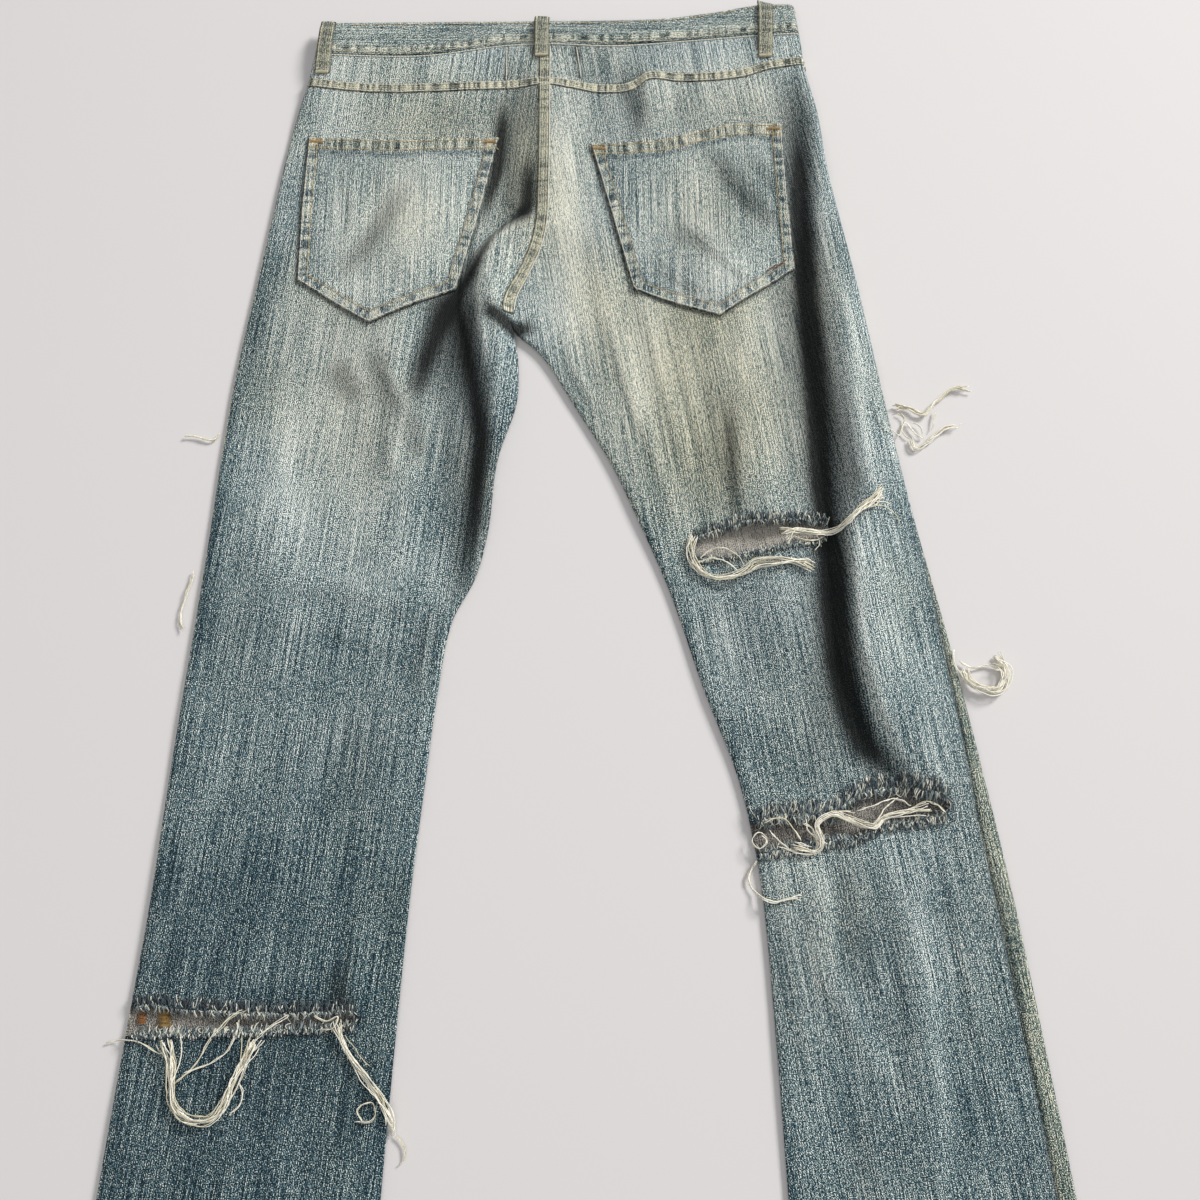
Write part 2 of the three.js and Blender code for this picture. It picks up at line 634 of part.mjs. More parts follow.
const NEARBY = [[0, 0], [5, 0], [-5, 0], [0, 5], [0, -5]];

for (const [name, [radius, route]] of Object.entries(YARNS)) {
  const points = route.map(([x, y]) => {
    const under = Math.max(...NEARBY.map(([dx, dy]) => clothUnder(x + dx, y + dy)));
    const clearance = under > 0 ? FRINGE_LIFT + 2 * GAP : 4 * GAP;
    return new THREE.Vector3(x, y, under + radius + clearance);
  });
  const section = new THREE.Shape(Array.from({ length: YARN_SIDES }, (_, k) => {
    const angle = 2 * Math.PI * k / YARN_SIDES;
    return new THREE.Vector2(radius * Math.cos(angle), radius * Math.sin(angle));
  }));
  const extrudePath = new THREE.CatmullRomCurve3(points);
  const tube = new THREE.ExtrudeGeometry(section, { steps: 2 * route.length, extrudePath });
  add(`yarn_${name}`, tube, cloth(THREAD, 0.85));
}

// ---------------------------------------------------------------- origin

// The origin is the middle of the garment's box, on the ground that the fronts lie on.
const centre = new THREE.Box3().setFromObject(jeans).getCenter(new THREE.Vector3());
jeans.position.set(-centre.x, -centre.y, 0);

export default jeans;
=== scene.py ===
import math

import bmesh
import bpy
import numpy as np
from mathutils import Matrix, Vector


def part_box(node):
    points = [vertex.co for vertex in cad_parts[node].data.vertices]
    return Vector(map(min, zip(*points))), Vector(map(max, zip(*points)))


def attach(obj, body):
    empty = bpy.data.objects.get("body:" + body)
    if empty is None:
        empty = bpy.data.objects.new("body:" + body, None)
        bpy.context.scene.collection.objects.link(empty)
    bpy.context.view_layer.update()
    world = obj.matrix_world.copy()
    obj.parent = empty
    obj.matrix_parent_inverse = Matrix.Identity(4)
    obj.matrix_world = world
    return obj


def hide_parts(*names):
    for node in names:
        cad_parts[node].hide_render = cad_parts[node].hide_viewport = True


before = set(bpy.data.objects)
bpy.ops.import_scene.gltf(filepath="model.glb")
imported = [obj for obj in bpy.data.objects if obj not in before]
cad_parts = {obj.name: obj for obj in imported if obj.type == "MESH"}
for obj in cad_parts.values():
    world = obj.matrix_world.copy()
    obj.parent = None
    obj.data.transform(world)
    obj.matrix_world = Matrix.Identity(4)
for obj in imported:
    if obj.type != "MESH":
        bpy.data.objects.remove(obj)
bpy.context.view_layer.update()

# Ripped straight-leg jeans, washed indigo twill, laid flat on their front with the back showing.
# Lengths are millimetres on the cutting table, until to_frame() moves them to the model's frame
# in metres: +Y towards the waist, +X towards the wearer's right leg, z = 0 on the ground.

random = np.random.default_rng(7)

# ---------------------------------------------------------------- sizes

CLOTH = 1.3
BAND_CLOTH = 1.8  # waistband, two layers pressed
HEM_CLOTH = 1.5
THIN_CLOTH = 0.9  # one layer, under a fly or a felled seam
FLAT_TOP = 5.0  # the back's outer face where it has no fold
LOWEST_TOP = 3.6  # the back never sinks below this
EDGE_Z = 2.6  # height of the side seams in the rolled edges
ROLL = 7.0  # plan width of a rolled edge
WAIST_LIFT = 1.6  # the waist rides this high on its loops and button
LIFT_FROM, LIFT_TO = 622, 668
WAIST_SWELL = 1.4  # the back stands this much higher over the waist's extra layers
CROTCH_Y = 450
PANEL_END_Y = -340  # lower end of the panels at the leg's middle
HEM_DEPTH = 13
HEM_TILT = 0.09  # the hems lie square to the splayed legs
WAIST_Y = 705
FRONT_DIP = 26
LOOP_REACH = 6.4  # half a belt loop's width
LOOP_ARCH = 2.2  # its rise over the waistband
LOOP_TOP = 1.35  # its outer face over its underside
FELL_REACH = 4.6  # half the seat seam's width
YOKE_FELL_REACH = 4.2
YOKE_FELL_DROP = 3.5  # the yoke seam's middle below the line where the pieces meet
FELL_PROUD, YOKE_FELL_PROUD = 1.5, 0.9  # how far the two felled seams stand up
BAND_PROUD = 1.25
FLOOR_DROP = 0.0003  # metres of air that keep the cloth clear of the ground
FLOOR_HALF = 6  # metres

LEFT_OUTER = [
    (760, -218), (717, -240), (684, -246), (629, -258), (515, -275), (401, -291),
    (261, -302), (108, -315), (0, -323), (-67, -330), (-190, -342), (-370, -359),
]
LEFT_INNER = [
    (760, -47), (560, -47), (530, -51), (505, -61), (480, -72), (463, -73), (450, -69), (425, -65),
    (390, -66), (343, -80), (286, -86), (248, -95), (213, -112), (160, -121), (94, -128),
    (0, -137), (-139, -146), (-370, -159),
]
RIGHT_OUTER = [
    (760, 166), (722, 171), (692, 174), (649, 183), (588, 190), (488, 209), (392, 225),
    (293, 243), (198, 263), (108, 280), (8, 297), (-115, 314), (-200, 325), (-370, 344),
]
RIGHT_INNER = [
    (760, -47), (560, -47), (530, -51), (505, -61), (480, -72), (463, -73), (450, -67), (438, -53),
    (425, -42), (388, -20), (341, 8), (295, 29), (237, 53), (160, 78), (100, 100), (57, 110),
    (8, 117), (-87, 123), (-190, 128), (-370, 137),
]
WAIST_TOP = [(-230, 737), (-57, 739), (46, 741), (100, 748), (135, 755), (170, 756)]
BAND_SEAM = [
    (-245, 707), (-153, 705), (-81, 715), (-42, 717), (14, 715), (79, 720), (132, 725), (175, 728),
]
YOKE_SEAM = [
    (-250, 683), (-194, 677), (-118, 678), (-46, 680), (19, 676), (42, 686), (78, 687),
    (119, 691), (144, 699), (178, 704),
]

# Folds of the back: half-width towards -X, half-width towards +X, and (x, y, height) of the crest.
FOLDS = [
    (17, 62, [
        (172, 700, 0), (182, 635, 8), (182, 569, 11), (178, 479, 13), (182, 439, 14), (190, 360, 15),
        (192, 303, 15), (194, 234, 17), (195, 193, 18), (208, 145, 17), (221, 116, 12), (239, 89, 7),
        (247, 60, 0),
    ]),
    (55, 40, [
        (112, 640, 0), (112, 560, 3), (108, 480, 4), (122, 400, 6), (128, 320, 6), (138, 240, 6),
        (146, 160, 6), (150, 100, 4), (150, 40, 0),
    ]),
    (34, 46, [(-46, 712, 0), (-45, 670, 6), (-45, 600, 8), (-48, 550, 6), (-56, 520, 0)]),
    (13, 30, [
        (-52, 545, 0), (-66, 538, 7), (-82, 527, 11), (-91, 508, 13), (-94, 480, 13), (-90, 445, 11),
        (-82, 410, 10), (-82, 370, 10), (-86, 320, 8), (-89, 280, 6), (-96, 235, 0),
    ]),
    (60, 34, [
        (-130, 640, 0), (-138, 560, 5), (-150, 490, 5), (-168, 420, 4), (-150, 340, 5),
        (-150, 270, 3), (-150, 210, 0),
    ]),
    (8, 30, [(108, 392, 0), (108, 361, 3), (110, 318, 3), (112, 292, 0)]),
    (8, 26, [(30, 712, 0), (40, 682, 4), (39, 650, 4), (34, 618, 0)]),
    (10, 26, [(-174, -2, 0), (-172, -22, 3), (-176, -52, 5), (-184, -84, 0)]),
    (16, 14, [(156, 40, 0), (158, 10, 4), (160, -38, 4), (178, -80, 3), (200, -120, 0)]),
    (30, 18, [(222, 44, 0), (224, 0, 3), (226, -70, 4), (228, -150, 3), (232, -240, 0)]),
]

# Small creases, too slight for the solid model, in the same form.
CREASES = [
    (5, 16, [(-176, 424, 0), (-168, 412, 2.2), (-158, 392, 2.4), (-150, 376, 0)]),
    (5, 18, [(-168, 380, 0), (-166, 362, 2), (-164, 344, 2), (-164, 326, 0)]),
    (4, 9, [(-128, 222, 0), (-130, 205, 2.2), (-134, 176, 2), (-136, 158, 0)]),
    (14, 22, [(-262, 250, 0), (-230, 246, 1.3), (-190, 240, 1.6), (-150, 226, 1.2), (-132, 216, 0)]),
    (12, 20, [(-250, 214, 0), (-215, 212, 1.2), (-170, 200, 1.4), (-140, 190, 0)]),
    (6, 14, [(24, 560, 0), (30, 500, 2), (44, 430, 2.2), (60, 360, 1.6), (72, 310, 0)]),
    (6, 16, [(-8, 540, 0), (2, 470, 2.4), (22, 400, 2.4), (44, 340, 1.8), (60, 290, 0)]),
    (5, 12, [(58, 450, 0), (70, 400, 1.8), (80, 350, 1.6), (86, 310, 0)]),
    (7, 10, [(-28, 440, 0), (-18, 414, 2.5), (-8, 396, 2), (2, 380, 0)]),
    (8, 14, [(84, 640, 0), (96, 610, 1.6), (120, 570, 2), (140, 540, 0)]),
    (8, 14, [(60, 560, 0), (84, 530, 1.8), (116, 500, 1.6), (134, 488, 0)]),
    (8, 20, [(-214, 600, 0), (-200, 560, 1.8), (-208, 520, 1.8), (-222, 480, 0)]),
    (6, 12, [(-66, 660, 0), (-70, 620, 2.5), (-72, 570, 2.5), (-64, 552, 0)]),
    (6, 12, [(226, 140, 0), (232, 116, 2), (246, 92, 2), (250, 80, 0)]),
    (4, 16, [(-50, 554, 0), (-64, 549, 4), (-82, 539, 5), (-99, 520, 5.5), (-108, 498, 5.5),
             (-109, 470, 5), (-101, 436, 4), (-95, 404, 3), (-93, 372, 2), (-93, 330, 0)]),
    (7, 12, [(-84, 506, 0), (-86, 480, 3), (-80, 446, 3.5), (-79, 410, 2.5), (-82, 370, 0)]),
    (9, 12, [(200, 30, 0), (198, -10, 2), (196, -50, 2), (204, -90, 0)]),
    (8, 14, [(250, 40, 0), (256, 0, 2), (262, -60, 1.8), (268, -120, 0)]),
    (10, 12, [(130, 30, 0), (134, -20, 1.6), (142, -80, 2), (150, -140, 0)]),
    (8, 18, [(-216, -110, 0), (-220, -160, 1.4), (-228, -230, 1.4), (-236, -300, 0)]),
    (10, 16, [(180, -170, 0), (186, -220, 1.8), (190, -280, 1.6), (196, -330, 0)]),
]


# ---------------------------------------------------------------- lines and heights

def lerp(a, b, t):
    return a + (b - a) * t


def ease(start, end, value):
    u = np.clip((np.asarray(value, float) - start) / (end - start), 0, 1)
    return u * u * (3 - 2 * u)


def smooth_through(pairs):
    """A smooth function through (key, value) pairs."""
    keys, values = np.array(sorted(pairs), float).T
    last = len(keys) - 1
    before = np.maximum(np.arange(last + 1) - 1, 0)
    after = np.minimum(np.arange(last + 1) + 1, last)
    slopes = (values[after] - values[before]) / (keys[after] - keys[before])

    def at(key):
        key = np.asarray(key, float)
        i = np.clip(np.searchsorted(keys, key, side="right") - 1, 0, last - 1)
        span = keys[i + 1] - keys[i]
        u = np.clip((key - keys[i]) / span, 0, 1)
        start = (2 * u**3 - 3 * u**2 + 1) * values[i] + (u**3 - 2 * u**2 + u) * span * slopes[i]
        end = (3 * u**2 - 2 * u**3) * values[i + 1] + (u**3 - u**2) * span * slopes[i + 1]
        return start + end

    return at


def ridge_height(ridge, x, y):
    """What one fold adds at (x, y): its crest's height there, faded out over its sides."""
    left, right, crest = ridge
    nearest = np.full(np.shape(x), np.inf)
    height = np.zeros(np.shape(x))
    for (ax, ay, ah), (bx, by, bh) in zip(crest, crest[1:]):
        dx, dy = bx - ax, by - ay
        along = np.clip(((x - ax) * dx + (y - ay) * dy) / (dx * dx + dy * dy), 0, 1)
        off_x = x - (ax + dx * along)
        off_y = y - (ay + dy * along)
        to_right = off_x * -dy + off_y * dx > 0
        share = np.hypot(off_x, off_y) / np.where(to_right, right, left)
        closer = share < nearest
        nearest = np.where(closer, share, nearest)
        height = np.where(closer, lerp(ah, bh, along), height)
    return np.where(nearest < 1, height * (1 - np.minimum(nearest, 1) ** 2) ** 2, 0)


def soft_noise(x, y, cell_x, cell_y, seed):
    """Smooth noise from -1 to 1, with one random value at each corner of a grid of cells."""
    values = np.random.default_rng(seed).uniform(-1, 1, (256, 256))
    gx, gy = x / cell_x + 500.0, y / cell_y + 500.0
    ix, iy = np.floor(gx).astype(int), np.floor(gy).astype(int)
    fx, fy = gx - ix, gy - iy
    fx, fy = fx * fx * (3 - 2 * fx), fy * fy * (3 - 2 * fy)
    a = values[ix % 256, iy % 256]
    b = values[(ix + 1) % 256, iy % 256]
    c = values[ix % 256, (iy + 1) % 256]
    d = values[(ix + 1) % 256, (iy + 1) % 256]
    return lerp(lerp(a, b, fx), lerp(c, d, fx), fy)


class Half:
    """One leg with its half of the seat, between the outer edge and the seat seam or inseam."""

    def __init__(self, name, outer, inner, seam_most):
        self.name = name
        self.outer = smooth_through(outer)
        self.inner = smooth_through(inner)
        self.side = 1 if outer[0][1] < inner[0][1] else -1
        self.seam_most = seam_most

    def seam(self, y):
        """Distance of the side seam in from the edge, on top."""
        return 0.9 + self.seam_most * ease(310, 10, y)

    def width(self, y):
        return np.abs(self.inner(y) - self.outer(y))

    def across(self, x, y):
        """Distance from the outer edge."""
        return (x - self.outer(y)) * self.side


LEFT = Half("left", LEFT_OUTER, LEFT_INNER, 0)
RIGHT = Half("right", RIGHT_OUTER, RIGHT_INNER, 12.5)
HALVES = (LEFT, RIGHT)
SEAT_LINE = smooth_through(LEFT_INNER)
band_seam = smooth_through(BAND_SEAM)
yoke_seam = smooth_through(YOKE_SEAM)
waist_top = smooth_through(WAIST_TOP)


def waist_lift(y):
    return WAIST_LIFT * ease(LIFT_FROM, LIFT_TO, y)


def ripples(half, x, y):
    """Slight waves of the cloth, longer along the leg than across it."""
    u, v = half.across(x, y), y
    waves = 0.8 * soft_noise(u, v, 24, 95, 11) + 0.35 * soft_noise(u, v, 9, 42, 12)
    waves += 0.7 * soft_noise(u, v, 42, 46, 13) + 0.18 * soft_noise(u, v, 5, 12, 14)
    at_seat_seam = np.where(y > CROTCH_Y, ease(3, 18, np.abs(x - SEAT_LINE(y))), 1)
    return waves * at_seat_seam * ease(700, 660, y)


def cloth_height(half, x, y):
    """Height of the back's outer face, away from its rolled edges."""
    z = FLAT_TOP + WAIST_SWELL * ease(LIFT_FROM, LIFT_TO, y)
    for ridge in FOLDS + CREASES:
        z = z + ridge_height(ridge, x, y)
    return np.maximum(z + ripples(half, x, y), LOWEST_TOP) + waist_lift(y)


def roll_shape(distance):
    return np.sqrt(np.clip(1 - (1 - np.minimum(distance / ROLL, 1)) ** 2, 0, 1))


def edge_share(half, x, y):
    """0 at a rolled edge and 1 inside it. The inner edge is rolled below the crotch only."""
    inner_roll = ease(CROTCH_Y + 16, CROTCH_Y - 14, y)
    from_outer = roll_shape(np.abs(x - half.outer(y)))
    from_inner = lerp(1, roll_shape(np.abs(x - half.inner(y))), inner_roll)
    return from_outer * from_inner


def top_face(half, x, y):
    """Height of the back's outer face with its rolled edges."""
    return lerp(EDGE_Z + waist_lift(y), cloth_height(half, x, y), edge_share(half, x, y))


MAP_STEP = 1.5
MAP_X = np.arange(-380, 366, MAP_STEP)
MAP_Y = np.arange(-372, 772, MAP_STEP)


def height_map():
    """Height of whatever lies uppermost, a panel or the bare ground, on an even grid."""
    x, y = np.meshgrid(MAP_X, MAP_Y, indexing="ij")
    z = np.zeros(x.shape)
    for half in HALVES:
        d = half.across(x, y)
        inside = (d > 0) & (d < half.width(y)) & (y < waist_top(x)) & (y > PANEL_END_Y - HEM_DEPTH)
        z[inside] = top_face(half, x[inside], y[inside])
    return z


LAID = height_map()


def laid_height(x, y):
    """Height of the uppermost panel, or the ground, at (x, y)."""
    gx = np.clip((np.asarray(x, float) - MAP_X[0]) / MAP_STEP, 0, len(MAP_X) - 1.001)
    gy = np.clip((np.asarray(y, float) - MAP_Y[0]) / MAP_STEP, 0, len(MAP_Y) - 1.001)
    ix, iy = gx.astype(int), gy.astype(int)
    fx, fy = gx - ix, gy - iy
    low = lerp(LAID[ix, iy], LAID[ix + 1, iy], fx)
    high = lerp(LAID[ix, iy + 1], LAID[ix + 1, iy + 1], fx)
    return lerp(low, high, fy)


# ---------------------------------------------------------------- placing

loop_low, loop_high = (np.array(corner) * 1000 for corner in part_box("belt_loop_front_left"))
FRONT_LOOP_AT = np.array([-150.0, 706.0])  # where the front's left belt loop is centred
SHIFT = np.array([*((loop_low + loop_high)[:2] / 2 - FRONT_LOOP_AT), 0.0])


def to_frame(points):
    return (np.asarray(points, float) + SHIFT) / 1000


def from_frame(points):
    return np.asarray(points, float) * 1000 - SHIFT


def link_object(thing):
    bpy.context.scene.collection.objects.link(thing)


# ---------------------------------------------------------------- materials

def linear(hex_colour):
    """sRGB hex to the renderer's linear colour."""
    channels = [int(hex_colour[i:i + 2], 16) / 255 for i in (1, 3, 5)]
    return tuple(c / 12.92 if c <= 0.04045 else ((c + 0.055) / 1.055) ** 2.4 for c in channels)


def add_node(tree, kind, settings=None, **inputs):
    """Adds a node. Settings are its own, and an input is a value or another node's socket."""
    node = tree.nodes.new(kind)
    for key, value in (settings or {}).items():
        setattr(node, key, value)
    for key, value in inputs.items():
        name = key.replace("_", " ")
        socket = node.inputs[int(key[1:])] if key[1:].isdigit() else node.inputs[name]
        if isinstance(value, bpy.types.NodeSocket):
            tree.links.new(value, socket)
        else:
            socket.default_value = value
    return node


def new_material(name, **shader_inputs):
    material = bpy.data.materials.new(name)
    material.use_nodes = True
    tree = material.node_tree
    shader = tree.nodes["Principled BSDF"]
    for key, value in shader_inputs.items():
        shader.inputs[key.replace("_", " ")].default_value = value
    return material, tree, shader


def grain_noise(tree, grain, wide, long, detail=2.0, seed=0.0):
    """Noise drawn out along the cloth's warp, wide by long millimetres to a patch."""
    mapping = add_node(tree, "ShaderNodeMapping", Vector=grain,
                       Scale=(1 / wide, 1 / long, 1.0), Location=(seed, seed, 0.0))
    noise = add_node(tree, "ShaderNodeTexNoise", {"noise_dimensions": "2D"},
                     Vector=mapping.outputs[0], Scale=1.0, Detail=detail, Roughness=0.55)
    return noise.outputs["Fac"]


def math_node(tree, operation, a, b):
    return add_node(tree, "ShaderNodeMath", {"operation": operation}, i0=a, i1=b).outputs[0]


def weighted(tree, base, *parts):
    """base plus each part's (noise - 0.5) times its weight."""
    total = base
    for noise, weight in parts:
        centred = math_node(tree, "SUBTRACT", noise, 0.5)
        total = math_node(tree, "ADD", total, math_node(tree, "MULTIPLY", centred, weight))
    return total


def mix_colour(tree, factor, a, b, blend="MIX"):
    node = add_node(tree, "ShaderNodeMix", {"data_type": "RGBA", "blend_type": blend}, i0=factor)
    for index, value in ((6, a), (7, b)):
        if isinstance(value, bpy.types.NodeSocket):
            tree.links.new(value, node.inputs[index])
        else:
            node.inputs[index].default_value = (*value, 1)
    return node.outputs[2]


def colour_ramp(tree, value, stops):
    node = add_node(tree, "ShaderNodeValToRGB", Fac=value)
    ramp = node.color_ramp
    while len(ramp.elements) < len(stops):
        ramp.elements.new(0.5)
    for element, (place, colour) in zip(ramp.elements, stops):
        element.position = place
        element.color = (*linear(colour), 1)
    return node.outputs["Color"]


def attribute(tree, name):
    return add_node(tree, "ShaderNodeAttribute", {"attribute_name": name}).outputs["Fac"]


INDIGO_STOPS = [
    (0.0, "#0b1c23"), (0.2, "#28414d"), (0.4, "#4d6a75"), (0.58, "#799192"), (0.76, "#a4b0a9"),
    (0.9, "#cbcfc4"), (1.0, "#eeefe8"),
]


def washed_denim(name, stops, contrast=1.0):
    """Indigo-dyed cotton twill, woven with slubby warp, then stonewashed and tinted. The eye sees streaks
    along the warp, pale weft flecks, and pale crests, part rubbed and part painted highlight; painted shade
    darkens it towards black in creases and grooves. The real twill is 0.7 mm to a rib. It is drawn at 1.4
    mm, because finer ribs blur into one tone from here."""
    material, tree, shader = new_material(name, Roughness=0.93)
    shader.inputs["Sheen Weight"].default_value = 0.05
    shader.inputs["Specular IOR Level"].default_value = 0.25
    grain = add_node(tree, "ShaderNodeUVMap", {"uv_map": "grain"}).outputs[0]
    long_slubs = grain_noise(tree, grain, 0.95, 80, 1.0, 3.0)
    short_slubs = grain_noise(tree, grain, 0.85, 4.0, 0.0, 17.0)
    flecks = grain_noise(tree, grain, 0.75, 0.8, 0.0, 31.0)
    clouds = grain_noise(tree, grain, 30, 55, 2.0, 51.0)
    twill_at = add_node(tree, "ShaderNodeMapping", Vector=grain, Rotation=(0, 0, math.radians(-32)))
    twill = add_node(tree, "ShaderNodeTexWave", {"wave_type": "BANDS", "bands_direction": "X"},
                     Vector=twill_at.outputs[0], Scale=0.23, Distortion=0.6, Detail=1.0)
    worn = weighted(tree, attribute(tree, "fade"), (long_slubs, 1.1 * contrast),
                    (short_slubs, 0.75 * contrast), (flecks, 2.1 * contrast), (clouds, 0.34),
                    (twill.outputs["Fac"], 0.1))
    colour = colour_ramp(tree, worn, stops)
    colour = mix_colour(tree, attribute(tree, "warm"), colour, linear("#f3e3c2"), "MULTIPLY")
    colour = mix_colour(tree, attribute(tree, "ink"), colour, linear("#4a5c74"), "MULTIPLY")
    # Painted shade: where the shade attribute is high, the cloth goes towards near-black.
    colour = mix_colour(tree, attribute(tree, "shade"), colour, linear("#0b0d0c"))
    tree.links.new(colour, shader.inputs["Base Color"])
    relief = weighted(tree, 0.5, (short_slubs, 0.8), (flecks, 0.6), (twill.outputs["Fac"], 0.6))
    bump = add_node(tree, "ShaderNodeBump", Height=relief, Strength=0.55, Distance=0.0006)
    tree.links.new(bump.outputs[0], shader.inputs["Normal"])
    return material


DENIM = washed_denim("washed_indigo_twill", INDIGO_STOPS)
FELLED = washed_denim("felled_seam_twill", [
    (0.0, "#2b2f2a"), (0.25, "#5b5f55"), (0.5, "#8d9083"), (0.75, "#b7b8a5"), (1.0, "#e4dfc6"),
], 0.7)
REVERSE = washed_denim("twill_reverse", [
    (0.0, "#3b3838"), (0.35, "#6b6967"), (0.65, "#8f8d8a"), (1.0, "#bdbab3"),
], 0.8)


def cotton_yarn():
    """Undyed and dyed cotton yarn, ring-spun, so soft-edged and quite matt. Its colour goes with
    each yarn."""
    material, tree, shader = new_material("ring_spun_cotton_yarn", Roughness=0.9)
    shader.inputs["Sheen Weight"].default_value = 0.3
    tint = add_node(tree, "ShaderNodeAttribute", {"attribute_name": "yarn_colour"}).outputs["Color"]
    place = add_node(tree, "ShaderNodeTexCoord").outputs["Object"]
    noise = add_node(tree, "ShaderNodeTexNoise", Vector=place, Scale=900.0, Detail=1.0)
    shaded = colour_ramp(tree, noise.outputs["Fac"], [(0.3, "#dedede"), (0.6, "#ffffff")])
    tree.links.new(mix_colour(tree, 1.0, tint, shaded, "MULTIPLY"), shader.inputs["Base Color"])
    return material


YARN = cotton_yarn()


def aged_brass():
    """Die-struck brass with a dull aged skin: a soft golden gloss."""
    material, tree, shader = new_material("aged_struck_brass", Metallic=1.0, Roughness=0.42)
    place = add_node(tree, "ShaderNodeTexCoord").outputs["Object"]
    noise = add_node(tree, "ShaderNodeTexNoise", Vector=place, Scale=400.0, Detail=3.0)
    colour = colour_ramp(tree, noise.outputs["Fac"], [(0.3, "#6d5a34"), (0.7, "#a98f5b")])
    tree.links.new(colour, shader.inputs["Base Color"])
    return material


BRASS = aged_brass()

# ---------------------------------------------------------------- worn cloth, with painted highlights and painted shade

POCKETS = {
    "left": {
        "top": [(-243, 627), (-205, 626), (-160, 624), (-120, 625), (-84, 626)],
        "bottom": [(-245, 496), (-185, 457), (-116, 488)],
        "left": [(-245, 496), (-245, 560), (-243, 627)],
        "right": [(-116, 488), (-99, 554), (-84, 626)],
    },
    "right": {
        "top": [(-8, 620), (20, 621.5), (49, 624), (91, 635), (106, 639), (130, 640), (152, 639)],
        "bottom": [(27, 487), (96, 463), (158, 506)],
        "left": [(27, 487), (10, 553), (-8, 620)],
        "right": [(158, 506), (155, 561), (152, 639)],
    },
}


def pocket_outline(pocket):
    """Down the left side, along the foot and up the right side."""
    return [*pocket["left"][::-1], *pocket["bottom"][1:], *pocket["right"][1:]]


def distance_to(line, x, y):
    """Distance to a line, and the length along it of the nearest point."""
    nearest = np.full(np.shape(x), np.inf)
    at = np.zeros(np.shape(x))
    done = 0.0
    for (ax, ay), (bx, by) in zip(line, line[1:]):
        dx, dy = bx - ax, by - ay
        length = math.hypot(dx, dy)
        along = np.clip(((x - ax) * dx + (y - ay) * dy) / length**2, 0, 1)
        distance = np.hypot(x - ax - dx * along, y - ay - dy * along)
        closer = distance < nearest
        nearest = np.where(closer, distance, nearest)
        at = np.where(closer, done + along * length, at)
        done += length
    return nearest, at


# Rubbed and tinted patches: x, y, half-width, half-length, and how much paler they are.
PALE_PATCHES = [
    (-30, 580, 14, 90, 0.30), (-14, 500, 24, 70, 0.18), (16, 420, 34, 80, 0.14),
    (-196, 380, 70, 80, 0.18), (-240, -40, 80, 26, 0.05), (-215, 300, 60, 50, 0.06),
    (-150, 560, 40, 60, 0.12),
    (-200, 690, 50, 20, 0.06), (-250, 330, 30, 70, 0.05), (96, 540, 45, 60, 0.06),
    (90, 660, 60, 26, 0.12), (70, 400, 70, 90, 0.14), (160, 340, 60, 120, 0.06),
    (-170, 250, 60, 30, 0.05), (-225, 640, 24, 60, 0.12), (-200, 440, 50, 24, 0.10),
    (210, 220, 16, 120, 0.03), (224, 110, 16, 40, 0.10), (140, 20, 40, 30, 0.12),
    (134, -30, 24, 50, 0.10), (86, 170, 26, 40, 0.06),
    (150, -60, 30, 60, 0.06), (226, -40, 16, 70, 0.10), (190, -110, 24, 40, 0.10),
]
WARM_PATCHES = [
    (-130, 640, 70, 60, 0.35), (-30, 560, 40, 120, 0.45), (60, 420, 60, 120, 0.5),
    (110, 380, 60, 90, 0.5), (-190, 390, 70, 90, 0.35), (90, 660, 70, 40, 0.35),
    (-180, 500, 70, 40, 0.4), (100, 500, 60, 40, 0.35), (-60, 620, 20, 80, 0.4),
]
DARK_PATCHES = [
    (-270, 400, 14, 130, 0.12), (-246, 590, 10, 60, 0.12), (-230, -30, 110, 80, 0.08),
    (-245, -150, 110, 110, 0.12), (240, -140, 110, 120, 0.10), (115, 300, 40, 40, 0.06),
    (-200, 0, 110, 110, 0.02),
    (-225, 200, 90, 60, 0.05), (66, 655, 50, 20, 0.08), (222, 245, 20, 70, 0.08),
    (160, 130, 30, 50, 0.08), (226, 140, 22, 50, 0.12), (-125, 330, 22, 90, 0.14), (20, 560, 12, 70, 0.05),
    (-78, 350, 14, 100, 0.30), (-160, 440, 50, 30, 0.06), (2, 400, 20, 70, 0.18),
    (40, 320, 14, 70, 0.12), (190, 640, 16, 60, 0.12), (-130, 640, 40, 20, 0.05),
    (-200, -60, 70, 10, 0.06), (200, 560, 16, 110, 0.10),
]

# The edges of the cloth behind the centre loop, sewn through the yoke.
PANEL_LINES = [((-79, 713), (-79, 681)), ((-20, 713), (-16, 683))]


def patches(table, x, y):
    total = np.zeros(np.shape(x))
    for px, py, wide, long, amount in table:
        total += amount * np.exp(-((x - px) / wide) ** 2 - ((y - py) / long) ** 2)
    return total
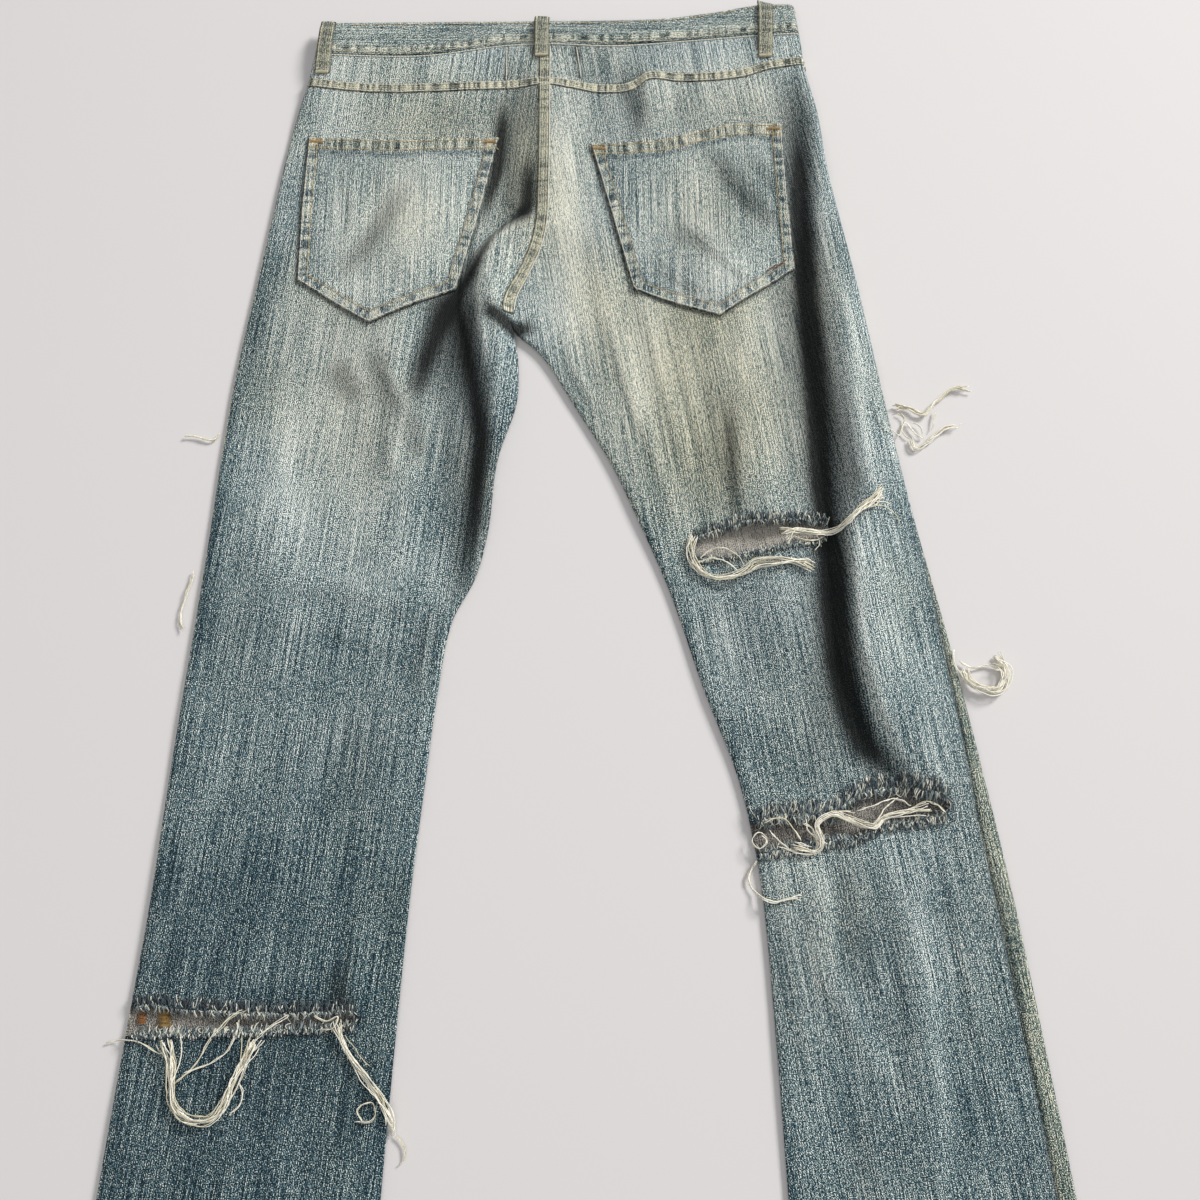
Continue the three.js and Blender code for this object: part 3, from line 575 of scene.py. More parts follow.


# Painted shade in the deep creases and beside the steep walls of the folds, in the form of FOLDS, with
# darkness for height. Past 1 the crease is evenly dark across its middle.
PAINTED_CREASE_SHADE = [
    (16, 15, [(160, 690, 0), (163, 650, 0.5), (165, 605, 1), (164, 559, 1.25), (165, 518, 1.3),
              (166, 478, 1.3), (168, 439, 1.3), (170, 400, 1.4), (171, 362, 1.4), (172, 325, 1.4),
              (174, 289, 1.1), (176, 262, 0)]),
    (24, 13, [(176, 300, 0), (178, 275, 1.1), (179, 253, 1.4), (179, 218, 1.4), (181, 183, 1.4),
              (187, 149, 1.3), (197, 120, 1.2), (210, 104, 0.7), (226, 94, 0)]),
    (34, 34, [(152, 680, 0), (156, 600, 0.3), (156, 500, 0.4), (160, 420, 0.5), (164, 340, 0.4),
          (168, 290, 0.35), (170, 240, 0.5), (172, 180, 0.5), (170, 130, 0.4), (160, 100, 0.2),
          (140, 84, 0)]),
    (18, 18, [(176, 560, 0), (180, 500, 0.35), (184, 440, 0.5), (187, 400, 0.6), (190, 360, 0.7),
              (194, 322, 0.75), (194, 300, 0.5), (192, 284, 0)]),
    (11, 9, [(-81, 670, 0), (-81, 640, 1), (-83, 606, 1.3), (-86, 590, 1.2), (-93, 566, 0.8),
             (-100, 546, 0)]),
    (13, 9, [(-57, 612, 0), (-58, 592, 0.8), (-58, 568, 1.2), (-61, 552, 1), (-72, 540, 0)]),
    (19, 12, [(-90, 528, 0), (-97, 512, 0.6), (-107, 496, 0.9), (-117, 478, 1.1), (-125, 461, 1.2),
          (-131, 446, 1), (-138, 426, 1), (-143, 404, 0.8), (-149, 378, 0)]),
    (16, 16, [(-112, 484, 0), (-110, 461, 0.9), (-105, 426, 1), (-98, 392, 1), (-92, 358, 1),
          (-95, 325, 1), (-97, 293, 0.85), (-102, 261, 0.6), (-106, 226, 0.2), (-110, 200, 0)]),
    (26, 26, [(-64, 690, 0), (-66, 640, 0.25), (-66, 580, 0.35), (-68, 552, 0.4), (-90, 535, 0)]),
    (36, 36, [(-114, 504, 0), (-120, 474, 0.9), (-118, 430, 0.75), (-110, 390, 0.5),
          (-106, 340, 0.45), (-102, 290, 0.35), (-104, 236, 0)]),
    (14, 14, [(-146, 394, 0), (-145, 374, 0.4), (-142, 352, 0.5), (-144, 332, 0)]),
    (7, 7, [(-52, 568, 0), (-62, 558, 0.8), (-72, 546, 0.75), (-84, 534, 0.7), (-94, 518, 0.8),
         (-104, 500, 0.9), (-112, 484, 0)]),
    (11, 11, [(-94, 474, 0), (-86, 464, 1.1), (-77, 457, 1.4), (-68, 452, 1.4), (-60, 454, 1),
              (-50, 460, 0)]),
    (18, 18, [(-218, 424, 0), (-206, 416, 0.5), (-196, 398, 0.5), (-192, 384, 0)]),
    (16, 16, [(-182, 444, 0), (-176, 424, 0.5), (-168, 396, 0.5), (-160, 372, 0.35), (-158, 340, 0)]),
    (20, 20, [(-186, 410, 0), (-180, 360, 0.2), (-170, 330, 0.2), (-166, 300, 0)]),
    (9, 9, [(98, 400, 0), (101, 366, 0.65), (102, 330, 0.6), (104, 298, 0.4), (106, 290, 0)]),
    (14, 14, [(20, 700, 0), (24, 672, 0.55), (30, 650, 0.45), (34, 624, 0)]),
    (12, 12, [(-122, 232, 0), (-128, 206, 0.3), (-132, 176, 0.25), (-136, 152, 0)]),
    (14, 14, [(-186, -30, 0), (-184, -46, 0.5), (-182, -62, 0.5), (-182, -66, 0)]),
    (16, 16, [(176, 46, 0), (178, 20, 0.35), (180, -20, 0.3), (188, -60, 0)]),
    (22, 22, [(120, 60, 0), (128, 20, 0.12), (132, -40, 0.12), (138, -100, 0)]),
    (16, 16, [(206, 40, 0), (206, 0, 0.25), (212, -60, 0.2), (220, -140, 0)]),
    (20, 20, [(172, -100, 0), (180, -170, 0.25), (190, -250, 0.2), (196, -320, 0)]),
    (14, 14, [(84, 430, 0), (88, 390, 0.2), (92, 340, 0.2), (96, 310, 0)]),
]

# Painted highlights along the crests of the folds, in the same form, with how much paler for height.
PAINTED_CREST_HIGHLIGHTS = [
    (5, 9, [(200, 300, 0), (197, 275, 0.1), (193, 249, 0.16), (192, 214, 0.2), (193, 180, 0.22),
            (202, 147, 0.2), (212, 114, 0)]),
    (6, 9, [(180, 560, 0), (186, 520, 0.08), (194, 470, 0.1), (199, 420, 0.1), (204, 360, 0.1),
            (206, 310, 0)]),
    (4, 8, [(-60, 548, 0), (-74, 542, 0.1), (-90, 528, 0.14), (-100, 506, 0.14), (-101, 480, 0.12),
            (-94, 444, 0.1), (-88, 404, 0.06), (-86, 360, 0)]),
]


# Painted shade, from 0 to 1, of all the deep creases together.
def painted_crease_shade(x, y):
    light = np.ones(np.shape(x))
    for crease in PAINTED_CREASE_SHADE:
        light = light * (1 - np.minimum(ridge_height(crease, x, y), 0.94))
    return 1 - light


def face_wear_and_painted_light(half, x, y):
    """Fading and painted highlights, warm tint, ink, and painted shade of the back's cloth."""
    height = cloth_height(half, x, y)
    # Crests paler and hollows darker by their height over the cloth around them: part rubbing, part painted
    # light and shade.
    around = sum(cloth_height(half, x + dx, y + dy) for dx, dy in ((7, 0), (-7, 0), (0, 7), (0, -7))) / 4
    crest = np.clip((height - around) * 0.09, -0.12, 0.12)
    up_the_leg = lerp(0.28, 0.6, ease(-60, 470, y))
    side_weight = 0.05 + 0.25 * ease(560, 500, y) * ease(120, 220, y) if half is LEFT else 0.1
    at_side = side_weight * np.exp(-(half.across(x, y) / 15) ** 2) + 0.06 * np.exp(
        -((half.width(y) - half.across(x, y)) / 9) ** 2) * (y < CROTCH_Y)
    fade = up_the_leg - at_side + crest + patches(PALE_PATCHES, x, y) - patches(DARK_PATCHES, x, y)
    fade += 0.1 * ease(60, 200, x) * ease(330, 130, y) + 0.05 * ease(60, 100, x) * ease(300, 0, y)
    # Painted highlights along the crests of the folds.
    fade += sum(ridge_height(crest, x, y) for crest in PAINTED_CREST_HIGHLIGHTS)
    warm = patches(WARM_PATCHES, x, y)
    # Painted shade of the deep creases.
    shade = painted_crease_shade(x, y)
    # Painted shadow on the panel along the back pockets' edges.
    for pocket in POCKETS.values():
        beside_pocket, _ = distance_to(pocket_outline(pocket), x, y)
        shade = np.maximum(shade, 0.55 * np.exp(-(beside_pocket / 2.2) ** 2))
    # Painted shade in a thin line beside each panel line, and a darker band a little further off.
    for line in PANEL_LINES:
        beside_line, _ = distance_to(line, x, y)
        shade = np.maximum(shade, 0.8 * np.exp(-((beside_line - 1.2) / 1.1) ** 2))
        fade = fade - 0.1 * np.exp(-((beside_line - 4) / 3) ** 2)
    ink = 0.22 * soft_noise(x, y, 60, 110, 61)
    warm = warm + 0.2 * soft_noise(x, y, 45, 80, 62)
    return {"fade": fade, "warm": np.clip(warm, 0, 0.8), "ink": np.clip(ink, 0, 1), "shade": shade}


# ---------------------------------------------------------------- cloth pieces

def move_points(mesh, points):
    mesh.vertices.foreach_set("co", to_frame(points).ravel())


def grid_mesh(name, columns, rows, place):
    """A grid whose corners run from 0 to 1 both ways, laid where place(s, t) says, in mm."""
    mesh = bpy.data.meshes.new(name)
    work = bmesh.new()
    bmesh.ops.create_grid(work, x_segments=columns, y_segments=rows, size=0.5)
    work.to_mesh(mesh)
    work.free()
    flat = np.empty(len(mesh.vertices) * 3)
    mesh.vertices.foreach_get("co", flat)
    flat = flat.reshape(-1, 3)
    points = np.column_stack(np.broadcast_arrays(*place(flat[:, 0] + 0.5, flat[:, 1] + 0.5)))
    move_points(mesh, points)
    mesh.update()
    return mesh


def mesh_points(mesh):
    flat = np.empty(len(mesh.vertices) * 3)
    mesh.vertices.foreach_get("co", flat)
    return from_frame(flat.reshape(-1, 3))


def set_grain(mesh, u, v):
    """The grain map, in millimetres across and along the warp."""
    layer = mesh.uv_layers.get("grain") or mesh.uv_layers.new(name="grain")
    corners = np.empty(len(mesh.loops), int)
    mesh.loops.foreach_get("vertex_index", corners)
    layer.data.foreach_set("uv", np.column_stack([u, v])[corners].astype(np.float32).ravel())


def set_wear_and_painted_light(mesh, **values):
    count = len(mesh.vertices)
    for name in ("fade", "warm", "ink", "shade"):
        layer = mesh.attributes.get(name) or mesh.attributes.new(name, "FLOAT", "POINT")
        value = np.clip(np.broadcast_to(values.get(name, 0.0), count), 0, 1)
        layer.data.foreach_set("value", value.astype(np.float32))


def finish_piece(name, mesh, materials, replaced=(), thickness=None):
    """Links a mesh as a piece of the garment that rides on its one body."""
    piece = bpy.data.objects.new(name, mesh)
    link_object(piece)
    for material in materials:
        mesh.materials.append(material)
    mesh.polygons.foreach_set("use_smooth", np.ones(len(mesh.polygons), bool))
    if thickness:
        wall = piece.modifiers.new("cloth", "SOLIDIFY")
        wall.thickness = thickness / 1000
        wall.offset = -1
        if len(materials) > 1:
            wall.material_offset = 1
            wall.material_offset_rim = 1
    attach(piece, "root")
    if replaced:
        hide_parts(*replaced)
    return piece


def column_distance(share, start, width):
    """Distance from the outer edge of a column: a fifth of the columns are in the two rolls."""
    rolled = 0.09
    angle = np.clip(share / rolled, 0, 1) * math.pi / 2
    near = start + ROLL * (1 - np.cos(angle))
    far_angle = np.clip((1 - share) / rolled, 0, 1) * math.pi / 2
    far = width - ROLL * (1 - np.cos(far_angle))
    middle = lerp(start + ROLL, width - ROLL, np.clip((share - rolled) / (1 - 2 * rolled), 0, 1))
    return np.where(share < rolled, near, np.where(share > 1 - rolled, far, middle))


def hem_line(half, offset):
    middle = (half.outer(PANEL_END_Y) + half.inner(PANEL_END_Y)) / 2
    return lambda x: PANEL_END_Y - offset - half.side * HEM_TILT * (x - middle)


def row_y(half, upper, lower, s, t, upper_y=WAIST_Y, lower_y=WAIST_Y):
    """y of a point a share t of the way from an upper line to a lower one."""
    upper_x = lerp(half.outer(upper_y), half.inner(upper_y), s)
    lower_x = lerp(half.outer(lower_y), half.inner(lower_y), s)
    return lerp(upper(upper_x), lower(lower_x), t)


def back_place(half, upper, lower, upper_y=WAIST_Y, lower_y=WAIST_Y):
    """Where the points of a back piece lie. Its first column is the one with the lower x."""
    def place(s, t):
        share = s if half.side > 0 else 1 - s
        y = row_y(half, upper, lower, share, 1 - t, upper_y, lower_y)
        distance = column_distance(share, half.seam(y), half.width(y))
        x = half.outer(y) + half.side * distance
        groove = 0.7 * np.exp(-((distance - half.seam(y)) / 1.6) ** 2) * ease(300, 200, y)
        return x, y, top_face(half, x, y) - (groove if half is RIGHT else 0)
    return place


# ---------------------------------------------------------------- rips

class Rip:
    """A tear between an upper and a lower torn edge, each a line of (x, y) points."""

    def __init__(self, half, upper, lower, seed):
        self.half = half
        self.upper_points = np.array(upper, float)
        self.lower_points = np.array(lower, float)
        self.seed = seed
        self.start, self.end = upper[0][0], upper[-1][0]
        edge = float(min(half.outer(upper[0][1]), half.inner(upper[0][1])))
        self.fringe_start = max(self.start + 3, edge + 5)

    def upper(self, x):
        return np.interp(x, *self.upper_points.T) + 0.7 * soft_noise(x, x * 0, 3.5, 1, self.seed)

    def lower(self, x):
        return np.interp(x, *self.lower_points.T) + 0.7 * soft_noise(x, x * 0, 3.5, 1, self.seed + 1)

    def distance(self, x, y):
        """How far (x, y) is outside the tear, roughly."""
        beside = np.maximum(np.maximum(self.start - x, x - self.end), 0)
        above = np.maximum(y - np.interp(x, *self.upper_points.T), 0)
        below = np.maximum(np.interp(x, *self.lower_points.T) - y, 0)
        return np.hypot(beside, above + below)


RIPS = {
    "thigh": Rip(RIGHT, [
        (72, 275), (78, 281), (99, 287), (112, 291), (154, 293), (172, 292), (177, 286),
    ], [
        (72, 269), (77, 263), (103, 264), (127, 269), (147, 274), (168, 276), (177, 284),
    ], 21),
    "knee": Rip(RIGHT, [
        (98, 58), (112, 64), (131, 69), (172, 70), (181, 79), (197, 88), (227, 88), (248, 84), (253, 77),
    ], [
        (98, 44), (112, 42), (138, 46), (163, 51), (183, 52), (206, 63), (228, 65), (248, 69), (253, 75),
    ], 23),
    "shin": Rip(LEFT, [
        (-345, -66), (-312, -62), (-291, -65), (-247, -68), (-205, -68), (-174, -66), (-169, -72),
    ], [
        (-345, -84), (-315, -82), (-276, -81), (-232, -80), (-194, -78), (-174, -76), (-169, -73),
    ], 25),
}


def tear(mesh, rip):
    """Opens a tear: the points inside it go to its nearer edge, and what spans it is removed."""
    points = mesh_points(mesh)
    x, y = points[:, 0], points[:, 1]
    upper, lower = rip.upper(x), rip.lower(x)
    inside = (x > rip.start) & (x < rip.end) & (y < upper) & (y > lower)
    to_upper = inside & (y > (upper + lower) / 2)
    to_lower = inside & ~to_upper
    points[:, 1] = np.where(to_upper, upper, np.where(to_lower, lower, y))
    move_points(mesh, points)
    work = bmesh.new()
    work.from_mesh(mesh)
    work.verts.ensure_lookup_table()
    gone = []
    for face in work.faces:
        above = sum(bool(to_upper[v.index]) for v in face.verts)
        beneath = sum(bool(to_lower[v.index]) for v in face.verts)
        if (above and beneath) or above == 4 or beneath == 4:
            gone.append(face)
    bmesh.ops.delete(work, geom=gone, context="FACES")
    bmesh.ops.remove_doubles(work, verts=work.verts, dist=0.00002)
    bmesh.ops.dissolve_degenerate(work, edges=work.edges, dist=0.00002)
    work.to_mesh(mesh)
    work.free()


def lift_lips(mesh, rip):
    """The torn edges curl up a little."""
    points = mesh_points(mesh)
    reach = rip.distance(points[:, 0], points[:, 1])
    curl = 1.3 + 0.9 * soft_noise(points[:, 0], points[:, 1], 14, 30, rip.seed + 2)
    points[:, 2] += curl * np.exp(-reach / 5)
    move_points(mesh, points)


# ---------------------------------------------------------------- backs and yokes

BACK_COLUMNS, BACK_ROWS = 78, 400


def paint_back(mesh, half, rips=(), offset=0.0):
    points = mesh_points(mesh)
    x, y = points[:, 0], points[:, 1]
    wear_and_painted_light = face_wear_and_painted_light(half, x, y)
    for rip in rips:
        near = np.exp(-(rip.distance(x, y) / 5) ** 2)
        wear_and_painted_light["ink"] = np.maximum(wear_and_painted_light["ink"], near * 0.6)
        wear_and_painted_light["fade"] = wear_and_painted_light["fade"] - 0.08 * near
    if half is RIGHT:
        # Painted shade in the groove of the right leg's side seam.
        groove = np.exp(-((half.across(x, y) - half.seam(y)) / 1.5) ** 2) * ease(320, 180, y)
        wear_and_painted_light["shade"] = np.maximum(wear_and_painted_light["shade"], 0.6 * groove)
    set_wear_and_painted_light(mesh, **wear_and_painted_light)
    slant = 0.11 if half is LEFT else -0.17
    set_grain(mesh, x - slant * y + offset, y + offset)


def make_backs():
    pieces = {}
    for half in HALVES:
        rips = [rip for rip in RIPS.values() if rip.half is half]
        place = back_place(half, yoke_seam, hem_line(half, 0), lower_y=PANEL_END_Y)
        mesh = grid_mesh(f"cloth_back_{half.name}", BACK_COLUMNS, BACK_ROWS, place)
        for rip in rips:
            tear(mesh, rip)
            lift_lips(mesh, rip)
        paint_back(mesh, half, rips)
        pieces[half.name] = finish_piece(
            f"cloth_back_{half.name}", mesh, [DENIM, REVERSE],
            [f"back_{half.name}"], CLOTH,
        )
        place = back_place(half, band_seam, yoke_seam)
        mesh = grid_mesh(f"cloth_yoke_{half.name}", BACK_COLUMNS, 18, place)
        paint_back(mesh, half, (), 61)
        pieces[f"yoke_{half.name}"] = finish_piece(
            f"cloth_yoke_{half.name}", mesh, [DENIM, REVERSE],
            [f"yoke_{half.name}"], CLOTH,
        )
    return pieces


backs = make_backs()

# ---------------------------------------------------------------- fronts

FRONT_Z = 0.3  # the front's outer face; its facing and fly stand proud of it, down to the ground


def front_dip(x):
    return FRONT_DIP * ease(150, 30, np.abs(np.asarray(x, float) + 47))


def front_place(half, upper, lower, upper_y, lower_y):
    """Where a front piece lies: from the side seam on top, round the edge, and underneath."""
    over = 0.08

    def place(s, t):
        across = np.clip((s - over) / (1 - over), 0, 1)
        y = row_y(half, upper, lower, across, 1 - t, upper_y, lower_y)
        rolled = np.where(across < 0.1, ROLL * (1 - np.cos(across * 5 * math.pi)), ROLL)
        far = ROLL * (1 - np.cos(np.clip((1 - across) * 10, 0, 1) * math.pi / 2))
        middle = lerp(ROLL, half.width(y) - ROLL, np.clip((across - 0.1) / 0.8, 0, 1))
        under = np.where(across < 0.1, rolled, np.where(across > 0.9, half.width(y) - far, middle))
        on_top = half.seam(y) * np.clip(1 - s / over, 0, 1) ** 1.4
        distance = np.where(s < over, on_top, under)
        x = half.outer(y) + half.side * distance
        share = edge_share(half, x, y)
        groove = 0.7 * np.exp(-((distance - half.seam(y)) / 1.6) ** 2) * (half is RIGHT)
        below = lerp(EDGE_Z + waist_lift(y), waist_lift(y) + FRONT_Z, share)
        return x, y, np.where(s < over, top_face(half, x, y) - groove, below)
    return place


def make_front(name, half, upper, lower, ends, rows, thickness, replaced, fade=0.45):
    mesh = grid_mesh(name, 56, rows, front_place(half, upper, lower, *ends))
    if half.side > 0:
        mesh.flip_normals()
    points = mesh_points(mesh)
    x, y = points[:, 0], points[:, 1]
    on_top = (points[:, 2] > EDGE_Z + waist_lift(y)) & (half.across(x, y) < half.seam(y) + 1)
    worn = lerp(fade - 0.08, fade + 0.05, ease(-100, 400, y))
    worn = worn + 0.08 * soft_noise(half.across(x, y), y, 40, 90, 71)
    seam_streaks = 0.12 * soft_noise(half.across(x, y), y, 1.6, 30, 73)
    inside = patches(INSIDE_PATCHES, x, y)
    worn = np.where(on_top, fade + 0.02 + seam_streaks, worn + inside)
    warm = np.where(on_top, 0.6, 0.25)
    set_wear_and_painted_light(mesh, fade=worn, warm=warm)
    set_grain(mesh, half.across(x, y) * np.where(on_top, -1, 1) + 700, y)
    return finish_piece(name, mesh, [DENIM, REVERSE], replaced, thickness)


# How much paler the front's reverse is where the tears show it, in the form of PALE_PATCHES.
INSIDE_PATCHES = [(120, 278, 60, 30, 0.30), (130, 58, 40, 20, -0.06), (-260, -74, 90, 20, 0.12)]


def dipped(line):
    return lambda x: line(x) - front_dip(x)


fronts = {}
for half in HALVES:
    fronts[half.name] = make_front(
        f"cloth_front_{half.name}", half, dipped(band_seam), hem_line(half, 0),
        (WAIST_Y, PANEL_END_Y), 220, CLOTH, [f"front_{half.name}"],
    )
    fronts[f"band_{half.name}"] = make_front(
        f"cloth_waistband_front_{half.name}", half, dipped(waist_top), dipped(band_seam),
        (WAIST_Y, WAIST_Y), 8, BAND_CLOTH, [f"waistband_front_{half.name}"],
    )
    fronts[f"hem_{half.name}"] = make_front(
        f"cloth_hem_front_{half.name}", half, hem_line(half, 0), hem_line(half, HEM_DEPTH),
        (PANEL_END_Y, PANEL_END_Y), 6, HEM_CLOTH, [f"hem_front_{half.name}"], 0.52,
    )

# ---------------------------------------------------------------- lines to sew along

def curve_through(points, per_span=10):
    """A Catmull-Rom curve through the points."""
    points = np.asarray(points, float)
    padded = np.vstack([2 * points[0] - points[1], points, 2 * points[-1] - points[-2]])
    u = np.linspace(0, 1, per_span, endpoint=False)[:, None]
    spans = []
    for a, b, c, d in zip(padded, padded[1:], padded[2:], padded[3:]):
        spans.append(0.5 * (2 * b + (c - a) * u + (2 * a - 5 * b + 4 * c - d) * u**2
                            + (3 * b - a - 3 * c + d) * u**3))
    return np.vstack([*spans, points[-1:]])


def evenly(points, spacing):
    """The same line in even steps."""
    points = np.asarray(points, float)
    steps = np.hypot(*np.diff(points[:, :2], axis=0).T)
    length = np.concatenate([[0], np.cumsum(steps)])
    count = max(int(round(length[-1] / spacing)), 1)
    at = np.linspace(0, length[-1], count + 1)
    return np.column_stack([np.interp(at, length, column) for column in points.T])


def tangents(line):
    steps = np.gradient(line[:, :2], axis=0)
    return steps / np.maximum(np.hypot(*steps.T), 1e-9)[:, None]


def beside(line, by):
    """A line with the same turns, by millimetres to the left of another."""
    line = np.asarray(line, float)
    steps = np.diff(line[:, :2], axis=0)
    steps /= np.hypot(*steps.T)[:, None]
    normals = np.column_stack([-steps[:, 1], steps[:, 0]])
    first = np.vstack([normals[:1], normals])
    second = np.vstack([normals, normals[-1:]])
    corner = first + second
    corner /= np.hypot(*corner.T)[:, None]
    reach = by / np.maximum((corner * first).sum(axis=1), 0.5)
    moved = line.copy()
    moved[:, :2] += corner * reach[:, None]
    return moved


def pucker(along, across, seed):
    """-1 to 1: the small gathers of a seam that shrank in the wash, about 5 mm apart."""
    return np.clip(1.5 * soft_noise(along, across, 2.1, 60, seed), -1, 1)


def make_strip(name, line, low, high, proud, material, replaced=(), thickness=THIN_CLOTH,
               columns=8, pitch=1.2, fade=0.5, warm=0.3, seed=81, contrast=0.22, ripple=0.25,
               rim=0.0, pace=1.0, surface=laid_height):
    """A narrow band of cloth along a line, with its left side high millimetres to the left."""
    line = evenly(line, pitch)
    turn = tangents(line)
    normal = np.column_stack([-turn[:, 1], turn[:, 0]])
    index = np.arange(len(line))
    length = index * pitch

    def place(s, t):
        at = t * (len(line) - 1)
        offset = lerp(high, low, s)
        x = np.interp(at, index, line[:, 0]) + offset * np.interp(at, index, normal[:, 0])
        y = np.interp(at, index, line[:, 1]) + offset * np.interp(at, index, normal[:, 1])
        round_off = 1 - np.abs(2 * s - 1) ** 5
        gathers = ripple * pucker(np.interp(at, index, length) * pace, offset, seed) * round_off
        return x, y, surface(x, y) + proud * (0.45 + 0.55 * round_off) + gathers

    mesh = grid_mesh(name, columns, len(line) - 1, place)
    x, y = mesh_points(mesh)[:, :2].T
    distance, along = distance_to(line[::4, :2], x, y)
    at = along / pitch
    offset = sum((value - np.interp(at, index, line[:, axis])) * np.interp(at, index, normal[:, axis])
                 for axis, value in ((0, x), (1, y)))
    gathers = pucker(along * pace, distance * 0, seed)
    ridge = rim * np.exp(-((distance / high - 0.72) / 0.16) ** 2)
    # Painted shade darkens the band towards its edges.
    set_wear_and_painted_light(mesh, fade=fade + contrast * gathers + ridge, warm=warm + 0.1 * gathers,
             ink=np.clip(-gathers * 0.3, 0, 1), shade=0.6 * ease(0.55, 1, distance / high) ** 2)
    set_grain(mesh, offset + 30, along)
    return finish_piece(name, mesh, [material], replaced, thickness)


# ---------------------------------------------------------------- waistband

def make_waistband(half):
    name = f"cloth_waistband_back_{half.name}"
    place = back_place(half, waist_top, band_seam)

    def proud_place(s, t):
        x, y, z = place(s, t)
        from_seam = y - band_seam(x)
        from_top = waist_top(x) - y
        roping = 0.5 * pucker(x, y * 0, 91) * np.exp(-((from_seam - 5) / 3.5) ** 2)
        z = z + 0.9 * ease(0, 2.5, from_seam) + 0.3 + roping - 1.4 * np.exp(-from_top / 1.2)
        return x, y, z

    mesh = grid_mesh(name, 150, 20, proud_place)
    points = mesh_points(mesh)
    x, y = points[:, 0], points[:, 1]
    from_seam = y - band_seam(x)
    near_seam = np.exp(-((from_seam - 5.5) / 3.2) ** 2)
    gathers = pucker(x, y * 0, 91)
    fade = 0.5 + 0.05 * soft_noise(x, y, 50, 9, 93) + near_seam * (0.1 + 0.26 * gathers)
    # Paler along the top edge: part rubbed, part painted highlight.
    fade += 0.1 * np.exp(-((waist_top(x) - y) / 2.5))
    warm = 0.2 + 0.35 * near_seam
    # Painted shadow: a thin dark line along the seam at the band's foot.
    set_wear_and_painted_light(mesh, fade=fade, warm=warm, ink=np.clip(-gathers * near_seam * 0.5, 0, 1),
             shade=0.5 * np.exp(-(from_seam / 0.8) ** 2))
    set_grain(mesh, y, x)
    return finish_piece(name, mesh, [DENIM],
                        [f"waistband_back_{half.name}"], BAND_CLOTH)


waistbands = {half.name: make_waistband(half) for half in HALVES}

# ---------------------------------------------------------------- felled seams

SEAT_SEAM_END = 464
seat_line = [(float(SEAT_LINE(y)), y) for y in np.arange(714, SEAT_SEAM_END - 1, -4)]
seat_seam = make_strip(
    "felled_seat_seam", seat_line, -FELL_REACH, FELL_REACH, FELL_PROUD, FELLED,
    ["seat_seam"], columns=10, fade=0.5, warm=0.04, seed=101, contrast=0.1, rim=0.14,
)

yoke_seams = {}
for half in HALVES:
    ends = sorted([float(half.outer(680)) + half.side * 1.5, float(SEAT_LINE(680)) - half.side * 1])
    yoke_line = [(x, float(yoke_seam(x)) - YOKE_FELL_DROP) for x in np.linspace(*ends, 60)]
    yoke_seams[half.name] = make_strip(
        f"felled_yoke_seam_{half.name}", yoke_line, -YOKE_FELL_REACH, YOKE_FELL_REACH,
        YOKE_FELL_PROUD, FELLED, fade=0.54, warm=0.1, seed=103, contrast=0.36,
        rim=0.1, ripple=0.4, pace=1.5,
    )

# ---------------------------------------------------------------- back pockets

def along_line(points, share):
    points = np.asarray(points, float)
    length = np.concatenate([[0], np.cumsum(np.hypot(*np.diff(points, axis=0).T))])
    at = np.asarray(share) * length[-1]
    return np.interp(at, length, points[:, 0]), np.interp(at, length, points[:, 1])


def pocket_lift(name, x, y):
    """How far the pocket's face stands above the panel: least at its sewn edges."""
    pocket = POCKETS[name]
    edge, along = distance_to(pocket_outline(pocket), x, y)
    top, top_along = distance_to(pocket["top"], x, y)
    hem = ease(12, 10, top)
    band = ease(10.5, 8.5, edge)
    gathers = 0.22 * pucker(along, edge * 0, 111) * np.exp(-((edge - 5) / 4) ** 2)
    hem_gathers = 0.3 * pucker(top_along, top * 0, 113) * np.exp(-((top - 5) / 3.5) ** 2)
    dents = 0.6 * soft_noise(x, y, 34, 40, 115) + 0.3 * soft_noise(x, y, 12, 16, 116)
    inner = ease(8, 22, np.minimum(edge, top + 6))
    base = 1.6 + 0.7 * band * ease(0, 2, edge) + 0.6 * hem + 0.5 * inner
    return base + gathers + hem_gathers + dents * inner


def cover(x, y):
    """Height of the uppermost cloth at (x, y), with the pockets."""
    x, y = np.asarray(x, float), np.asarray(y, float)
    z = laid_height(x, y)
    for name, pocket in POCKETS.items():
        inside = in_pocket(pocket, x, y)
        if np.any(inside):
            z = np.where(inside, z + pocket_lift(name, x, y), z)
    return z


def in_pocket(pocket, x, y):
    foot = np.array(pocket["bottom"], float)
    top = np.array(pocket["top"], float)
    left = np.array(sorted(pocket["left"], key=lambda p: p[1]), float)
    right = np.array(sorted(pocket["right"], key=lambda p: p[1]), float)
    beyond_left = x > np.interp(y, left[:, 1], left[:, 0]) - 0.5
    beyond_right = x < np.interp(y, right[:, 1], right[:, 0]) + 0.5
    low = y > np.interp(x, foot[:, 0], foot[:, 1]) - 0.5
    high = y < np.interp(x, top[:, 0], top[:, 1]) + 0.5
    return beyond_left & beyond_right & low & high


POCKET_PALES = [(-188, 488, 40, 26, 0.22), (96, 494, 40, 26, 0.18), (-150, 560, 30, 40, 0.06)]
POCKET_DARKS = [(-214, 590, 26, 26, 0.06), (-236, 560, 8, 60, 0.05), (20, 590, 28, 28, 0.12),
                (118, 572, 34, 30, 0.28)]
